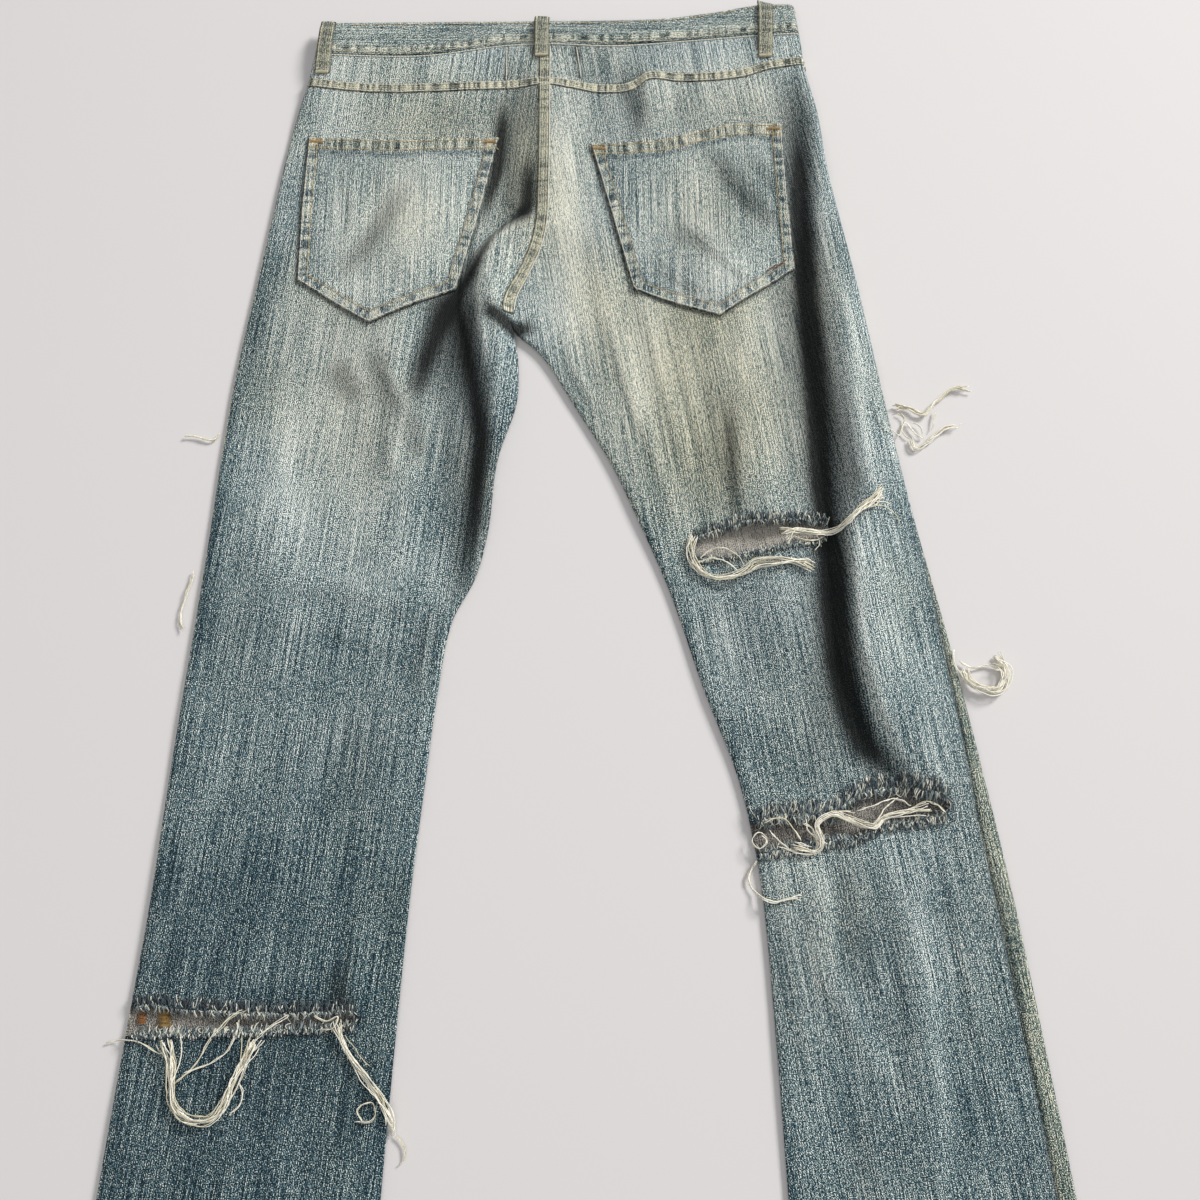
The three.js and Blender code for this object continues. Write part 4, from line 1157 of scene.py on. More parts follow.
# Painted shade along creases of the pockets: half-width, then (x, y, darkness) along each crease.
POCKET_CREASE_SHADE = [
    (15, [(-160, 590, 0), (-170, 562, 0.35), (-186, 532, 0.45), (-204, 508, 0.4), (-216, 492, 0)]),
    (18, [(90, 626, 0), (106, 594, 0.4), (124, 566, 0.55), (140, 550, 0.45), (156, 538, 0)]),
    (14, [(50, 556, 0), (66, 536, 0.3), (84, 528, 0.25), (100, 520, 0)]),
    (12, [(120, 620, 0), (132, 600, 0.3), (144, 580, 0.35), (150, 560, 0)]),
    (10, [(40, 520, 0), (56, 500, 0.25), (74, 486, 0.25), (92, 480, 0)]),
]


def make_pocket(name):
    pocket = POCKETS[name]

    def place(s, t):
        (tx, ty), (bx, by) = along_line(pocket["top"], s), along_line(pocket["bottom"], s)
        (lx, ly), (rx, ry) = along_line(pocket["left"], t), along_line(pocket["right"], t)
        corners = [np.array(pocket[side][end], float) for side, end in
                   (("bottom", 0), ("bottom", -1), ("top", 0), ("top", -1))]
        weights = [(1 - s) * (1 - t), s * (1 - t), (1 - s) * t, s * t]
        flat = [sum(w * c[k] for w, c in zip(weights, corners)) for k in (0, 1)]
        x = lerp(bx, tx, t) + lerp(lx, rx, s) - flat[0]
        y = lerp(by, ty, t) + lerp(ly, ry, s) - flat[1]
        return x, y, laid_height(x, y) + pocket_lift(name, x, y)

    mesh = grid_mesh(f"cloth_back_pocket_{name}", 112, 118, place)
    x, y = mesh_points(mesh)[:, :2].T
    half = LEFT if name == "left" else RIGHT
    wear_and_painted_light = face_wear_and_painted_light(half, x, y)
    edge, along = distance_to(pocket_outline(pocket), x, y)
    top, top_along = distance_to(pocket["top"], x, y)
    band = ease(9.5, 8.5, edge)
    hem = ease(11.5, 10.5, top)
    gathers = pucker(along, edge * 0, 111) * band
    hem_gathers = pucker(top_along, top * 0, 113) * hem
    centre_x, centre_y = np.mean(pocket["top"] + pocket["bottom"], axis=0)
    rubbed = 0.20 * np.exp(-(((x - centre_x - 8) / 42) ** 2 + ((y - centre_y + 22) / 46) ** 2))
    fade = 0.58 + rubbed + patches(POCKET_PALES, x, y) + 0.05 * soft_noise(x, y, 30, 40, 117)
    fade = fade - patches(POCKET_DARKS, x, y)
    fade = fade + 0.16 * band * gathers + 0.02 * band + hem * (0.02 + 0.2 * hem_gathers)
    fade -= 0.12 * np.exp(-((top - 13.5) / 2.2) ** 2) + 0.05 * np.exp(-((edge - 10.5) / 1.5) ** 2)
    ink = 0.5 * np.clip(-gathers, 0, 1) + 0.25 * np.exp(-((top - 13.5) / 2.5) ** 2)
    ink = ink * (1 - hem) + hem * np.clip(-hem_gathers * 0.5, 0, 1)
    warm = np.clip(0.12 + 1.2 * rubbed + 0.4 * hem + 0.3 * band * (gathers > 0), 0, 0.85)
    # Painted shade: a share of the panel's crease shade, a shadow along the pocket's edge, and a thinner
    # one along the inner row of its band.
    shade = np.maximum(0.35 * wear_and_painted_light["shade"], 0.75 * np.exp(-(edge / 0.9) ** 2))
    shade = np.maximum(shade, 0.4 * np.exp(-((edge - 9.6) / 0.9) ** 2))
    # A pale line just inside the edge: part rubbed, part painted highlight.
    fade += 0.16 * np.exp(-((edge - 1.9) / 0.8) ** 2)
    # Painted shade along the pocket's creases.
    for wide, line in POCKET_CREASE_SHADE:
        shade = np.maximum(shade, ridge_height((wide, wide, line), x, y))
    set_wear_and_painted_light(mesh, fade=fade, warm=warm, ink=ink, shade=shade)
    set_grain(mesh, x + 400, y + 33)
    return finish_piece(f"cloth_back_pocket_{name}", mesh, [DENIM, REVERSE],
                        [f"back_pocket_{name}"], CLOTH)


pockets = {name: make_pocket(name) for name in POCKETS}

# ---------------------------------------------------------------- belt loops

BACK_LOOPS = {
    "left": ((-234.5, 688), (-231, 736.5), 0.0),
    "centre": ((-49.5, 703), (-49.5, 743), 1.2),
    "right": ((140, 704), (141, 758), 0.0),
}


def band_cover(x, y):
    """Height over the waistband and what is below it."""
    z = laid_height(x, np.minimum(y, waist_top(x) - 0.5))
    return z + 1.2 * ease(-1, 1.5, y - band_seam(x))


def loop_underside(name, x, y):
    """Height of a loop's underside, arched over the waistband between its two tacked ends."""
    (_, low_y), (_, high_y), under = BACK_LOOPS[name]
    inland = np.maximum(x, LEFT.outer(y) + ROLL) if name == "left" else x
    share = np.clip((y - low_y) / (high_y - low_y), 0, 1)
    arch = LOOP_ARCH * ease(0.06, 0.24, share) * ease(0.97, 0.8, share)
    return band_cover(inland, y) + under + arch


def make_back_loop(name):
    low, high, _ = BACK_LOOPS[name]
    return make_strip(
        f"belt_loop_{name}_back", np.linspace(low, high, 40), -LOOP_REACH, LOOP_REACH, 1.5, FELLED,
        [f"belt_loop_back_{name}"], 1.4, columns=12, fade=0.4, warm=0.1, seed=121,
        contrast=0.06, ripple=0.12, rim=0.3, surface=lambda x, y: loop_underside(name, x, y),
    )


loops = {name: make_back_loop(name) for name in BACK_LOOPS}


def make_flat_patch(name, outline, level, material, replaced, thickness):
    """A plain piece on the front's outer face, level millimetres above the ground."""
    work = bmesh.new()
    corners = [work.verts.new(tuple(to_frame((x, y, 0)))) for x, y in outline]
    work.faces.new(corners)
    bmesh.ops.triangulate(work, faces=work.faces)
    for _ in range(3):
        bmesh.ops.subdivide_edges(work, edges=work.edges, cuts=1, use_grid_fill=True)
    bmesh.ops.recalc_face_normals(work, faces=work.faces)
    if sum(face.normal.z for face in work.faces) > 0:
        bmesh.ops.reverse_faces(work, faces=work.faces)
    mesh = bpy.data.meshes.new(name)
    work.to_mesh(mesh)
    work.free()
    points = mesh_points(mesh)
    points[:, 2] = level + waist_lift(points[:, 1])
    move_points(mesh, points)
    set_wear_and_painted_light(mesh, fade=0.44, warm=0.25)
    set_grain(mesh, points[:, 0] + 900, points[:, 1])
    return finish_piece(name, mesh, [material], replaced, thickness)


FLY = [
    (-84, 702), (-84, 566), (-80, 553), (-72, 545), (-60, 542), (-49, 542), (-49, 692), (-66, 695),
]
FACING_LEFT = [
    (-255, 603), (-224, 604), (-198, 611), (-175, 627), (-159, 648), (-153, 674), (-153, 686),
    (-200, 698), (-236, 702), (-240, 690), (-247, 650),
]
FACING_RIGHT = [
    (181, 608), (146, 608), (120, 616), (97, 632), (81, 652), (75, 676), (76, 706), (120, 720),
    (162, 722), (166, 712), (173, 660),
]
PATCH_LEVEL = 0.05  # a hidden patch's face over the ground
fly = make_flat_patch("cloth_fly_placket", FLY, PATCH_LEVEL, DENIM, ["fly_placket"],
                      THIN_CLOTH)
facings = {
    side: make_flat_patch(f"cloth_pocket_facing_{side}", outline, PATCH_LEVEL, DENIM,
                          [f"front_pocket_facing_{side}"], THIN_CLOTH)
    for side, outline in (("left", FACING_LEFT), ("right", FACING_RIGHT))
}
for side, (x, y) in {"left": (-150, 706), "right": (78, 720)}.items():
    box = [(x - 6, y - 22.5), (x + 6, y - 22.5), (x + 6, y + 22.5), (x - 6, y + 22.5)]
    piece = make_flat_patch(f"belt_loop_{side}_front", box, -1.45, FELLED,
                            [f"belt_loop_front_{side}"], 1.0)
    loops[f"front_{side}"] = piece

# ---------------------------------------------------------------- hems of the back

hems = {}
for half in HALVES:
    place = back_place(half, hem_line(half, 0), hem_line(half, HEM_DEPTH), PANEL_END_Y, PANEL_END_Y)
    mesh = grid_mesh(f"cloth_hem_back_{half.name}", BACK_COLUMNS, 10, place)
    x, y = mesh_points(mesh)[:, :2].T
    gathers = pucker(x, y * 0, 131)
    set_wear_and_painted_light(mesh, fade=0.5 + 0.2 * gathers, warm=0.3 + 0.2 * gathers)
    set_grain(mesh, half.across(x, y), y)
    hems[half.name] = finish_piece(f"cloth_hem_back_{half.name}", mesh, [DENIM],
                                   [f"hem_back_{half.name}"], HEM_CLOTH)

# ---------------------------------------------------------------- threads and yarns

class Strands:
    """Many thin strands joined in one mesh, each with its own colour."""

    def __init__(self):
        self.points, self.faces, self.colours, self.count = [], [], [], 0

    def add(self, line, radius, colour, sides=4, tip=0.4):
        """A strand along 3-D points, thinner at both ends, closed."""
        line = np.asarray(line, float)
        rings = len(line)
        along = np.gradient(line, axis=0)
        along /= np.maximum(np.linalg.norm(along, axis=1), 1e-9)[:, None]
        sideways = np.cross(along, (0.0, 0.05, 1.0))
        sideways /= np.maximum(np.linalg.norm(sideways, axis=1), 1e-9)[:, None]
        upward = np.cross(sideways, along)
        radii = np.full(rings, float(radius))
        radii[0] *= tip
        radii[-1] *= tip
        angles = np.arange(sides) * 2 * math.pi / sides + math.pi / 4
        circle = (np.cos(angles)[None, :, None] * sideways[:, None, :]
                  + np.sin(angles)[None, :, None] * upward[:, None, :])
        points = line[:, None, :] + circle * radii[:, None, None]
        self.points.append(points.reshape(-1, 3))
        start = self.count
        for ring in range(rings - 1):
            a = start + ring * sides
            for k in range(sides):
                after = (k + 1) % sides
                self.faces.append((a + k, a + sides + k, a + sides + after, a + after))
        last = start + (rings - 1) * sides
        self.faces.append(tuple(start + k for k in range(sides)))
        self.faces.append(tuple(last + k for k in reversed(range(sides))))
        self.colours.append(np.tile((*linear(colour), 1.0), (rings * sides, 1)))
        self.count += rings * sides

    def piece(self, name, slot, replaced=()):
        mesh = bpy.data.meshes.new(name)
        mesh.from_pydata(to_frame(np.vstack(self.points)).tolist(), [], self.faces)
        work = bmesh.new()
        work.from_mesh(mesh)
        bmesh.ops.recalc_face_normals(work, faces=work.faces)
        work.to_mesh(mesh)
        work.free()
        layer = mesh.attributes.new("yarn_colour", "FLOAT_COLOR", "POINT")
        layer.data.foreach_set("color", np.vstack(self.colours).astype(np.float32).ravel())
        return finish_piece(name, mesh, [YARN], replaced)


THREAD_CREAM = "#cdc3a2"
THREAD_WHITE = "#e6e3d4"
THREAD_OCHRE = "#ab8a55"
THREAD_TAN = "#b99f6c"


def sew(strands, line, surface=cover, pitch=3.1, length=2.5, radius=0.36, colour=THREAD_CREAM,
        lift=0.12, skip=0.02):
    """A row of stitches along a line, sunk at their ends. Some are worn away."""
    line = evenly(line, pitch)
    middles = (line[:-1] + line[1:]) / 2
    turn = line[1:] - line[:-1]
    turn /= np.hypot(*turn.T)[:, None]
    shares = np.array([-0.5, -0.22, 0.22, 0.5])
    at = middles[:, None, :] + turn[:, None, :] * (shares * length)[None, :, None]
    z = surface(at[..., 0], at[..., 1]) + np.array([-0.25, lift + 0.1, lift + 0.1, -0.25])
    for stitch, heights in zip(at, z):
        if random.random() > skip:
            strands.add(np.column_stack([stitch, heights]), radius, colour, tip=0.7)


def bar_tack(strands, x, y, wide=11.0, colour=THREAD_OCHRE, surface=cover):
    """A tack of close, short stitches across the pocket's corner."""
    for offset in np.arange(-wide / 2, wide / 2, 0.85):
        low, high = y - 1.5 + random.uniform(-0.3, 0.3), y + 1.5 + random.uniform(-0.3, 0.3)
        ends = np.array([(x + offset, low), (x + offset + 0.3, (low + high) / 2), (x + offset, high)])
        z = surface(ends[:, 0], ends[:, 1]) + np.array([0.0, 0.5, 0.0])
        strands.add(np.column_stack([ends, z]), 0.42, colour, tip=0.8)


def seam_cover(x, y):
    """Height over the felled seat and yoke seams as well."""
    z = cover(x, y)
    on_seat = (np.abs(x - SEAT_LINE(y)) < 5) & (y > SEAT_SEAM_END)
    on_yoke = np.abs(y - (yoke_seam(x) - YOKE_FELL_DROP)) < 4.4
    return z + np.where(on_seat, FELL_PROUD, np.where(on_yoke, YOKE_FELL_PROUD, 0))


def sewn_band(x, y):
    return laid_height(x, np.minimum(y, waist_top(x) - 0.5)) + BAND_PROUD


def loop_top(name, x, y):
    return loop_underside(name, x, y) + LOOP_TOP


def make_stitches():
    by_side = {half.name: Strands() for half in HALVES}
    for half in HALVES:
        strands = by_side[half.name]
        xs = np.linspace(*sorted([float(half.outer(700)) + half.side * 4, -47 + half.side * -2]), 50)
        for drop in (-0.4, -6.6):
            sew(strands, [(x, float(yoke_seam(x)) + drop) for x in xs], seam_cover, colour=THREAD_WHITE)
        sew(strands, [(x, float(band_seam(x)) + 2.4) for x in xs], sewn_band, lift=-0.1)
        sew(strands, [(x, float(band_seam(x)) - 1.0) for x in xs], laid_height, pitch=2.7,
            length=2.8, radius=0.5, colour=THREAD_WHITE, lift=0.35, skip=0)
        sew(strands, [(x, float(waist_top(x)) - 3.2) for x in xs], sewn_band, colour=THREAD_TAN, skip=0.2)
        pocket = POCKETS[half.name]
        outline = pocket_outline(pocket)
        for inside, colour in ((1.5, THREAD_WHITE), (8.2, THREAD_TAN)):
            sew(strands, beside(outline, inside), colour=colour, skip=0.05)
        top = pocket["top"]
        for inside in (1.6, 9.6):
            sew(strands, beside(top, -inside), colour=THREAD_TAN, skip=0.05)
        (left_x, left_y), (right_x, right_y) = top[0], top[-1]
        bar_tack(strands, left_x + 7.5, left_y - 4.2)
        bar_tack(strands, right_x - 7.5, right_y - 4.2)
        hem = hem_line(half, 1.8)
        hem_xs = np.linspace(*sorted([float(half.outer(-340)) + half.side * 5,
                                      float(half.inner(-340)) - half.side * 5]), 30)
        sew(strands, [(x, float(hem(x))) for x in hem_xs], laid_height, colour=THREAD_TAN)
    left, right = by_side["left"], by_side["right"]
    seat_rows = {
        inland: [(float(SEAT_LINE(y)) + inland, y) for y in np.arange(712, 466, -3.0)]
        for inland in (-3.3, 2.4, 4.6)
    }
    sew(left, seat_rows[-3.3], seam_cover)
    sew(left, seat_rows[2.4], seam_cover)
    sew(right, seat_rows[4.6], seam_cover, pitch=2.4, length=2.6, radius=0.55,
        colour=THREAD_WHITE, lift=-0.1, skip=0)
    for strands, line in zip((left, right), PANEL_LINES):
        sew(strands, line, length=3.0, radius=0.55, colour=THREAD_WHITE, lift=0.4, skip=0)
    for name, (low, high, _) in BACK_LOOPS.items():
        strands = left if low[0] < -60 else right
        for shift in (-4.6, 4.6):
            line = [(low[0] + shift, low[1] + 2), (high[0] + shift, high[1] - 1)]
            sew(strands, line, lambda x, y: loop_top(name, x, y), colour=THREAD_CREAM)
        bar_tack(strands, *low, 10, THREAD_CREAM, lambda x, y: loop_top(name, x, y))
    side_rows = np.arange(300, -338, -4.0)
    sew(right, [(float(RIGHT.outer(y)) - RIGHT.seam(y) - 1.8, y) for y in side_rows], laid_height,
        radius=0.3, colour="#7f8a88", lift=-0.05)
    for x in np.arange(134, 149, 1.1):
        y = 504 + (x - 134) * 0.45 + random.uniform(-1.2, 1.2)
        ends = np.array([(x, y), (x + 1.5, y + 1.2), (x + 3.2, y + 1.6)])
        z = cover(ends[:, 0], ends[:, 1]) + 0.25
        right.add(np.column_stack([ends, z]), 0.4, "#6d4a3c")
    return {
        name: strands.piece(f"stitches_{name}", "weft_yarn") for name, strands in by_side.items()
    }


stitches = make_stitches()

# ---------------------------------------------------------------- frayed edges

FRAY_COLOURS = [
    "#1d262c", "#2b383f", "#3e4c53", "#5f6e74", "#8a9591", "#b3b8ac", "#d5d4c2", "#ece9d8",
]


def fray(strands, rip, which, spacing, reach, dark, back=1.5):
    """Short curled warp yarns along one torn edge: which is +1 for the upper, -1 for the lower."""
    edge = rip.upper if which > 0 else rip.lower
    for x in np.arange(rip.fringe_start, rip.end - 1.5, spacing):
        for _ in range(2):
            x0 = x + random.uniform(-0.6, 0.6)
            y0 = float(edge(x0)) + which * random.uniform(0, back)
            length = reach * random.uniform(0.45, 1.15)
            lean = random.uniform(-0.45, 0.45)
            curl = random.uniform(-1.6, 1.6)
            u = np.linspace(0, 1, 6)
            xs = x0 + length * (lean * u + 0.28 * curl * np.sin(u * 3.1))
            ys = y0 - which * length * (u - 0.25 * u**2 * abs(curl))
            base = float(laid_height(x0, y0)) + 0.9
            drop = np.minimum(base - 1.8, 4.2) * ease(0.15, 1, u) * random.uniform(0.3, 0.9)
            zs = base + 1.1 * np.sin(u * 2.6) - drop
            tone = random.choice(FRAY_COLOURS[:5] if random.random() < dark else FRAY_COLOURS[3:])
            strands.add(np.column_stack([xs, ys, zs]), random.uniform(0.28, 0.42), tone)


def fluff(strands, rip, which, spacing, reach, dark):
    """Tufts of the frayed band that curl back over the cloth beside the tear."""
    edge = rip.upper if which > 0 else rip.lower
    for x in np.arange(rip.fringe_start, rip.end - 2, spacing):
        x0 = x + random.uniform(-1, 1)
        y0 = float(edge(x0)) + which * random.uniform(-0.5, 1.0)
        length = reach * random.uniform(0.4, 1.1)
        bend = random.uniform(-1, 1)
        u = np.linspace(0, 1, 6)
        xs = x0 + length * 0.6 * bend * np.sin(u * 2.4)
        ys = y0 + which * length * np.sin(u * 1.9)
        zs = laid_height(xs, ys) + 0.8 + 1.6 * np.sin(u * 3.0)
        tone = random.choice(FRAY_COLOURS[:4] if random.random() < dark else FRAY_COLOURS[4:])
        strands.add(np.column_stack([xs, ys, zs]), random.uniform(0.28, 0.42), tone)


# Which tear and edge (+1 upper, -1 lower), then the fringe's spacing, reach and share of dark
# yarns, and the reach and share of dark yarns of the tufts that curl back.
FRAYS = {
    "thigh_top": ("thigh", 1, 0.9, 5.5, 0.55, 6.5, 0.65),
    "thigh_bottom": ("thigh", -1, 1.0, 4.5, 0.35, 3.5, 0.45),
    "knee_top": ("knee", 1, 0.62, 9.0, 0.55, 10.0, 0.6),
    "knee_bottom": ("knee", -1, 0.7, 6.5, 0.5, 6.0, 0.55),
    "shin_top": ("shin", 1, 0.9, 6.5, 0.35, 8.0, 0.85),
    "shin_bottom": ("shin", -1, 0.9, 6.5, 0.45, 3.5, 0.6),
}
fringes = {}
for name, (rip_name, which, spacing, reach, dark, back_reach, back_dark) in FRAYS.items():
    strands = Strands()
    fray(strands, RIPS[rip_name], which, spacing, reach, dark)
    fluff(strands, RIPS[rip_name], which, spacing * 0.55, back_reach, back_dark)
    fringes[name] = strands.piece(f"fray_{name}", "frayed_edge", [f"fringe_{name}"])

# ---------------------------------------------------------------- loose weft yarns

YARN_COLOURS = ["#fffaea", "#fdf8e6", "#f3eedb", "#e6dfc9", "#fbf6e6", "#dcd3b4"]


def over_cloth(x, y, clearance=1.6):
    """Height a loose yarn rests at: over the cloth near it, or the ground."""
    near = [laid_height(x + dx, y + dy) for dx, dy in ((0, 0), (3, 0), (-3, 0), (0, 3), (0, -3))]
    return np.maximum.reduce(near) + clearance


def bundle(strands, route, radius, count, seed, fray_start=0.0, fray_end=5.0, thickness=0.42,
           colours=YARN_COLOURS):
    """Yarns that lie together along a route, wander across each other and part at the ends."""
    own = np.random.default_rng(seed)
    line = curve_through(route, 8)
    turn = tangents(line)
    normal = np.column_stack([-turn[:, 1], turn[:, 0]])
    share = np.linspace(0, 1, len(line))
    length = np.concatenate([[0], np.cumsum(np.hypot(*np.diff(line, axis=0).T))])
    for _ in range(count):
        phase, rate = own.uniform(0, 6.28), own.uniform(0.03, 0.11)
        wander = radius * (0.7 * np.sin(length * rate + phase) + 0.6 * own.uniform(-1, 1))
        wander += 0.5 * soft_noise(length, length * 0, 4, 1, int(own.integers(1000)))
        spread_end = fray_end * own.uniform(-1, 1) * ease(0.8, 1, share)
        spread_start = fray_start * own.uniform(-1, 1) * ease(0.2, 0, share)
        offset = wander + spread_end + spread_start
        rise = radius * (0.7 + 0.7 * np.cos(length * rate * 1.3 + phase * 2))
        x = line[:, 0] + normal[:, 0] * offset
        y = line[:, 1] + normal[:, 1] * offset
        first = int(own.integers(0, 3))
        last = len(line) - int(own.integers(0, 5))
        z = over_cloth(x, y) + rise
        z = np.convolve(np.pad(z, 2, mode="edge"), np.ones(5) / 5, mode="valid")
        points = np.column_stack([x, y, z])[first:last]
        strands.add(points, thickness * own.uniform(0.8, 1.15), own.choice(colours), tip=0.6)


# Radius of the bundle, how many yarns, how far they part at its start and end, and its route.
YARNS = {
    "thigh_left": (2.6, 13, 3, 5, [
        (72, 281), (69, 269), (73, 257), (82, 248), (95, 246), (110, 251), (120, 257), (149, 258),
        (163, 255),
    ]),
    "thigh_right": (2.6, 13, 7, 7, [
        (138, 279), (150, 283), (166, 283), (181, 284), (194, 294), (208, 305), (218, 314),
    ]),
    "knee_bundle": (2.0, 10, 4, 4, [
        (137, 47), (155, 43), (160, 50), (157, 62), (169, 70), (180, 66), (197, 60), (207, 67),
        (229, 72), (239, 74),
    ]),
    "knee_hanging": (0.8, 4, 1, 3, [
        (113, 36), (109, 30), (107, 22), (114, 12), (124, 8), (137, 11), (145, 12),
    ]),
    "shin_loop": (3.0, 13, 6, 7, [
        (-300, -84), (-295, -99), (-293, -125), (-283, -136), (-269, -138), (-260, -131),
        (-253, -116), (-245, -97), (-239, -81),
    ]),
    "shin_right": (2.4, 12, 3, 5, [
        (-184, -72), (-176, -93), (-161, -112), (-147, -130), (-140, -150),
    ]),
    "edge_left_upper": (0.5, 3, 1, 2, [(-299, 366), (-304, 360), (-316, 363), (-326, 365)]),
    "edge_left_lower": (0.8, 4, 2, 2, [(-316, 206), (-318, 220), (-314, 238), (-309, 259)]),
    "edge_right_upper": (1.5, 8, 3, 3, [
        (231, 389), (243, 387), (255, 381), (265, 391), (279, 404), (295, 404),
    ]),
    "edge_right_lower": (1.3, 7, 2, 2, [(243, 362), (247, 353), (258, 359), (271, 369), (285, 373)]),
    "edge_right_tuft": (3.4, 16, 3, 6, [
        (272, 178), (275, 168), (284, 162), (296, 161), (303, 168), (303, 178), (295, 185),
    ]),
}
# Single yarns that stray from the bundles: which piece each goes with, how many lie together,
# and the route.
STRAYS = [
    ("shin_loop", 3, [(-294, -115), (-281, -102), (-270, -84), (-257, -70), (-247, -66)]),
    ("shin_loop", 3, [
        (-289, -108), (-278, -104), (-266, -99), (-258, -92), (-253, -80), (-252, -72),
    ]),
    ("shin_loop", 3, [(-262, -131), (-252, -116), (-246, -99), (-236, -82), (-217, -69)]),
    ("shin_loop", 2, [(-345, -88), (-331, -86), (-318, -88), (-306, -94), (-301, -92)]),
    ("shin_loop", 2, [(-255, -134), (-248, -128), (-246, -120), (-250, -112)]),
    ("shin_right", 2, [(-168, -138), (-159, -139), (-154, -134), (-157, -126), (-167, -131), (-160, -141)]),
    ("shin_right", 1, [(-180, -80), (-170, -92), (-160, -104)]),
    ("shin_right", 2, [(-142, -146), (-135, -155), (-134, -164), (-139, -168)]),
    ("shin_right", 2, [(-200, -68), (-192, -73), (-183, -70), (-186, -77), (-198, -80)]),
    ("knee_bundle", 2, [(115, 55), (120, 50), (115, 45), (110, 50), (114, 56), (120, 52), (117, 44)]),
    ("knee_bundle", 3, [(122, 58), (130, 50), (138, 44), (146, 46)]),
    ("knee_bundle", 3, [(118, 64), (132, 66), (140, 58), (148, 46)]),
    ("knee_bundle", 2, [(150, 66), (150, 58), (158, 52), (166, 46)]),
    ("knee_bundle", 2, [(224, 70), (234, 78), (244, 76), (250, 70)]),
    ("knee_bundle", 3, [(146, 64), (154, 58), (156, 46), (150, 41), (140, 43), (128, 46)]),
    ("knee_bundle", 2, [(156, 60), (165, 69), (176, 72), (188, 70)]),
    ("knee_bundle", 2, [(168, 72), (184, 62), (196, 60), (206, 72), (216, 82)]),
    ("knee_bundle", 2, [(186, 72), (200, 76), (214, 80), (226, 76)]),
    ("thigh_right", 1, [(200, 299), (214, 300), (226, 293), (231, 280)]),
    ("thigh_right", 1, [(206, 304), (216, 304), (224, 302)]),
    ("thigh_right", 2, [(196, 295), (204, 306), (214, 309), (208, 300), (198, 298)]),
    ("thigh_right", 2, [(140, 282), (146, 279), (160, 276), (172, 279)]),
    ("thigh_right", 1, [(166, 282), (168, 274), (164, 268)]),
    ("thigh_left", 2, [(76, 262), (84, 268), (94, 270), (104, 264), (110, 256)]),
    ("thigh_left", 2, [(74, 258), (86, 262), (98, 258), (106, 250)]),
    ("edge_right_upper", 2, [(265, 385), (263, 377), (262, 368)]),
    ("edge_right_upper", 2, [(218, 371), (224, 365), (235, 364), (240, 375), (247, 367), (256, 360)]),
    ("edge_right_upper", 2, [(236, 384), (240, 378), (238, 368), (243, 360)]),
    ("edge_right_upper", 2, [(244, 376), (252, 372), (254, 362)]),
    ("edge_right_tuft", 4, [
        (265, 193), (264, 182), (270, 172), (280, 163), (289, 160), (300, 160), (305, 167),
        (306, 177), (301, 185), (293, 186),
    ]),
    ("edge_right_tuft", 4, [(270, 184), (280, 178), (292, 180), (302, 174), (298, 162), (286, 158)]),
]
yarns = {}
for number, (name, (radius, count, fray_start, fray_end, route)) in enumerate(YARNS.items()):
    strands = Strands()
    bundle(strands, route, radius, count, 200 + number, fray_start, fray_end)
    for stray, (owner, together, line) in enumerate(STRAYS):
        if owner == name:
            bundle(strands, line, 0.6, together, 300 + stray, 1.0, 1.5, 0.38)
    yarns[name] = strands.piece(f"loose_{name}", "weft_yarn", [f"yarn_{name}"])


def overlock_patches():
    """Two ends of mustard overlocking that show inside the shin tear."""
    strands = Strands()
    for left, right, low, high, colour in (
        (-325, -318, -75, -68, "#8f5a22"), (-311, -300, -78, -64, "#9a7838"),
    ):
        for y in np.arange(low, high, 0.95):
            slant = random.uniform(-0.4, 0.4)
            ends = [(left + random.uniform(-0.5, 0.5), y, 2.4), ((left + right) / 2, y + slant, 3.0),
                    (right + random.uniform(-0.5, 0.5), y, 2.4)]
            strands.add(ends, 0.5, colour)
    return strands.piece("overlock_ends", "weft_yarn")


overlock = overlock_patches()

button = bpy.data.objects["waist_button"]
button.data.materials.clear()
button.data.materials.append(BRASS)

# ---------------------------------------------------------------- camera, light and ground

CAMERA_HEIGHT = 0.924
CAMERA_TILT = 14.0  # degrees from straight down, towards the waist
CAMERA_LENS = 37.5  # on a 36 mm wide square sensor

camera_data = bpy.data.cameras.new("overhead_camera")
camera_data.lens = CAMERA_LENS
camera_data.sensor_width = 36.0
camera = bpy.data.objects.new("overhead_camera", camera_data)
camera.location = (SHIFT[0] / 1000, (SHIFT[1] + 1) / 1000, CAMERA_HEIGHT)
camera.rotation_euler = (math.radians(CAMERA_TILT), 0, 0)
link_object(camera)
bpy.context.scene.camera = camera


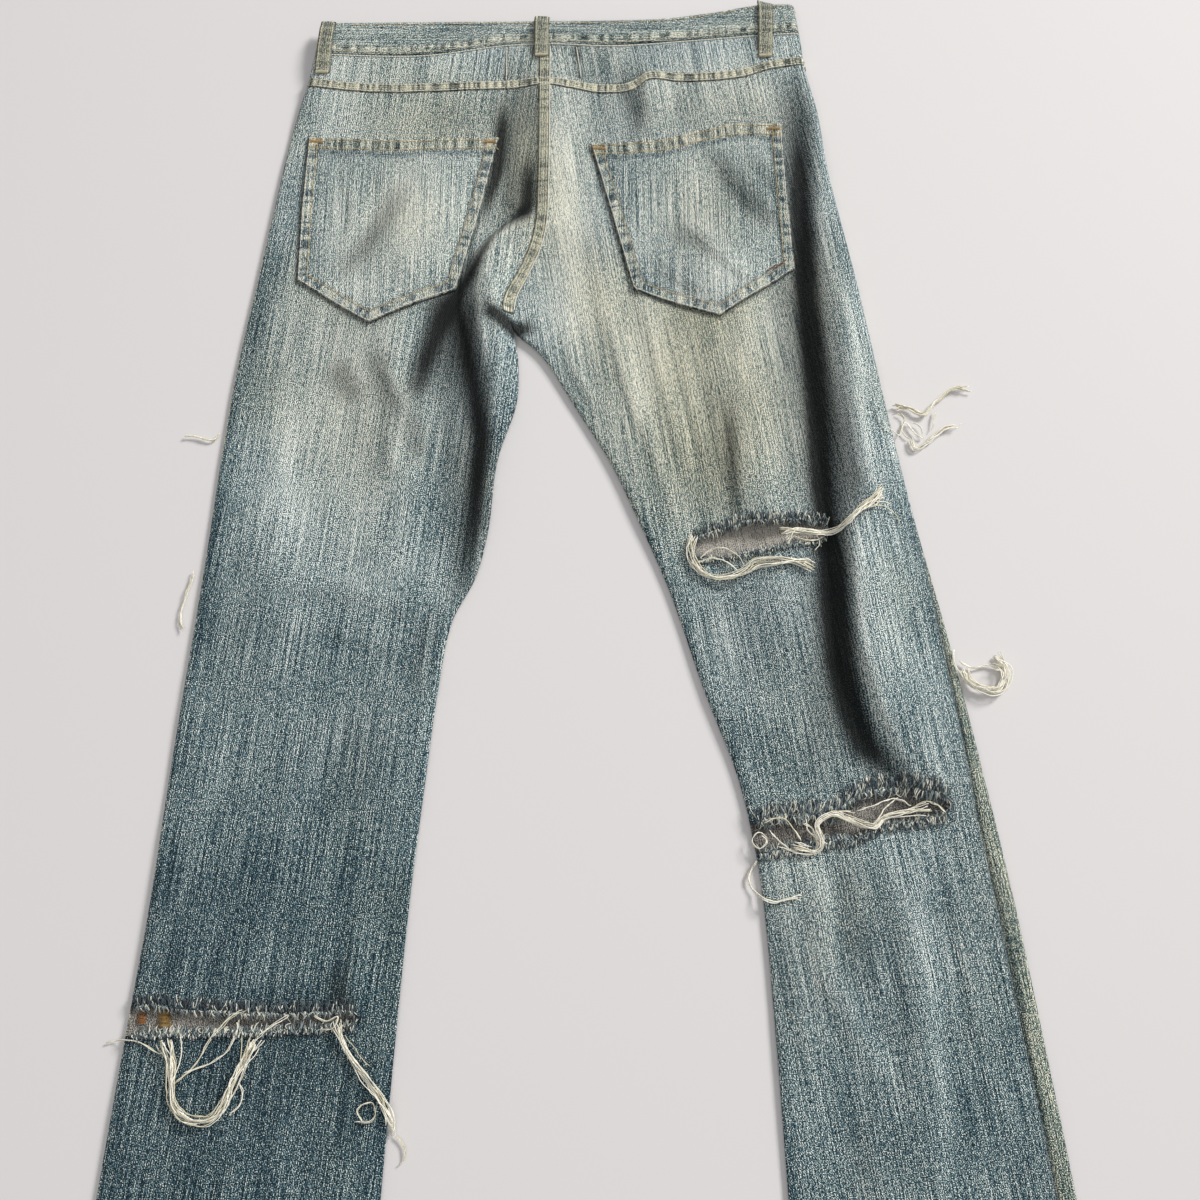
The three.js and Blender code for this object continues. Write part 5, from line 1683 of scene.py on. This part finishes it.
def add_area_light(name, location, target, size, watts, colour=(1, 1, 1)):
    data = bpy.data.lights.new(name, "AREA")
    data.size = size
    data.energy = watts
    data.color = colour
    light = bpy.data.objects.new(name, data)
    light.location = location
    direction = np.array(target) - np.array(location)
    flat = math.hypot(direction[0], direction[1])
    turn = math.atan2(direction[1], direction[0]) - math.pi / 2
    light.rotation_euler = (math.atan2(flat, -direction[2]), 0, turn)
    link_object(light)


add_area_light("window_key", location=(4.2, 3.6, 3.2), target=(0, 0.1, 0), size=1.7, watts=460)
add_area_light("overhead_fill", location=(-0.4, -0.6, 2.2), target=(0, 0, 0), size=2.0, watts=12)

bpy.context.scene.view_settings.view_transform = "Standard"

world = bpy.data.worlds.new("soft_room")
world.use_nodes = True
world.node_tree.nodes["Background"].inputs["Color"].default_value = (0.9, 0.92, 0.95, 1)
world.node_tree.nodes["Background"].inputs["Strength"].default_value = 0.4
bpy.context.scene.world = world


def make_floor():
    material, tree, shader = new_material("pale_plaster_floor", Roughness=0.85)
    shader.inputs["Base Color"].default_value = (*linear("#d5d1cf"), 1)
    mesh = bpy.data.meshes.new("floor")
    work = bmesh.new()
    bmesh.ops.create_grid(work, x_segments=1, y_segments=1, size=FLOOR_HALF)
    bmesh.ops.translate(work, verts=work.verts, vec=(0, 0, -FLOOR_DROP))
    work.to_mesh(mesh)
    work.free()
    mesh.materials.append(material)
    floor = bpy.data.objects.new("floor", mesh)
    link_object(floor)


make_floor()

# ---------------------------------------------------------------- last pass: each half's pieces gathered, their points read back


def declare(piece):
    points = mesh_points(piece.data)


goes_left = ("shin", "edge_left")
for half in HALVES:
    name = half.name
    mine = [piece for key, piece in fringes.items() if key.startswith("shin") == (half is LEFT)]
    mine += [piece for key, piece in yarns.items() if key.startswith(goes_left) == (half is LEFT)]
    mine += [stitches[name]]
    if half is LEFT:
        mine.append(overlock)
    front = fronts[name]
    declare(front)
    declare(fronts[f"hem_{name}"])
    declare(fronts[f"band_{name}"])
    declare(backs[name])
    declare(backs[f"yoke_{name}"])
    declare(hems[name])
    declare(waistbands[name])
    declare(pockets[name])
    declare(yoke_seams[name])
declare(seat_seam)
for name in BACK_LOOPS:
    declare(loops[name])
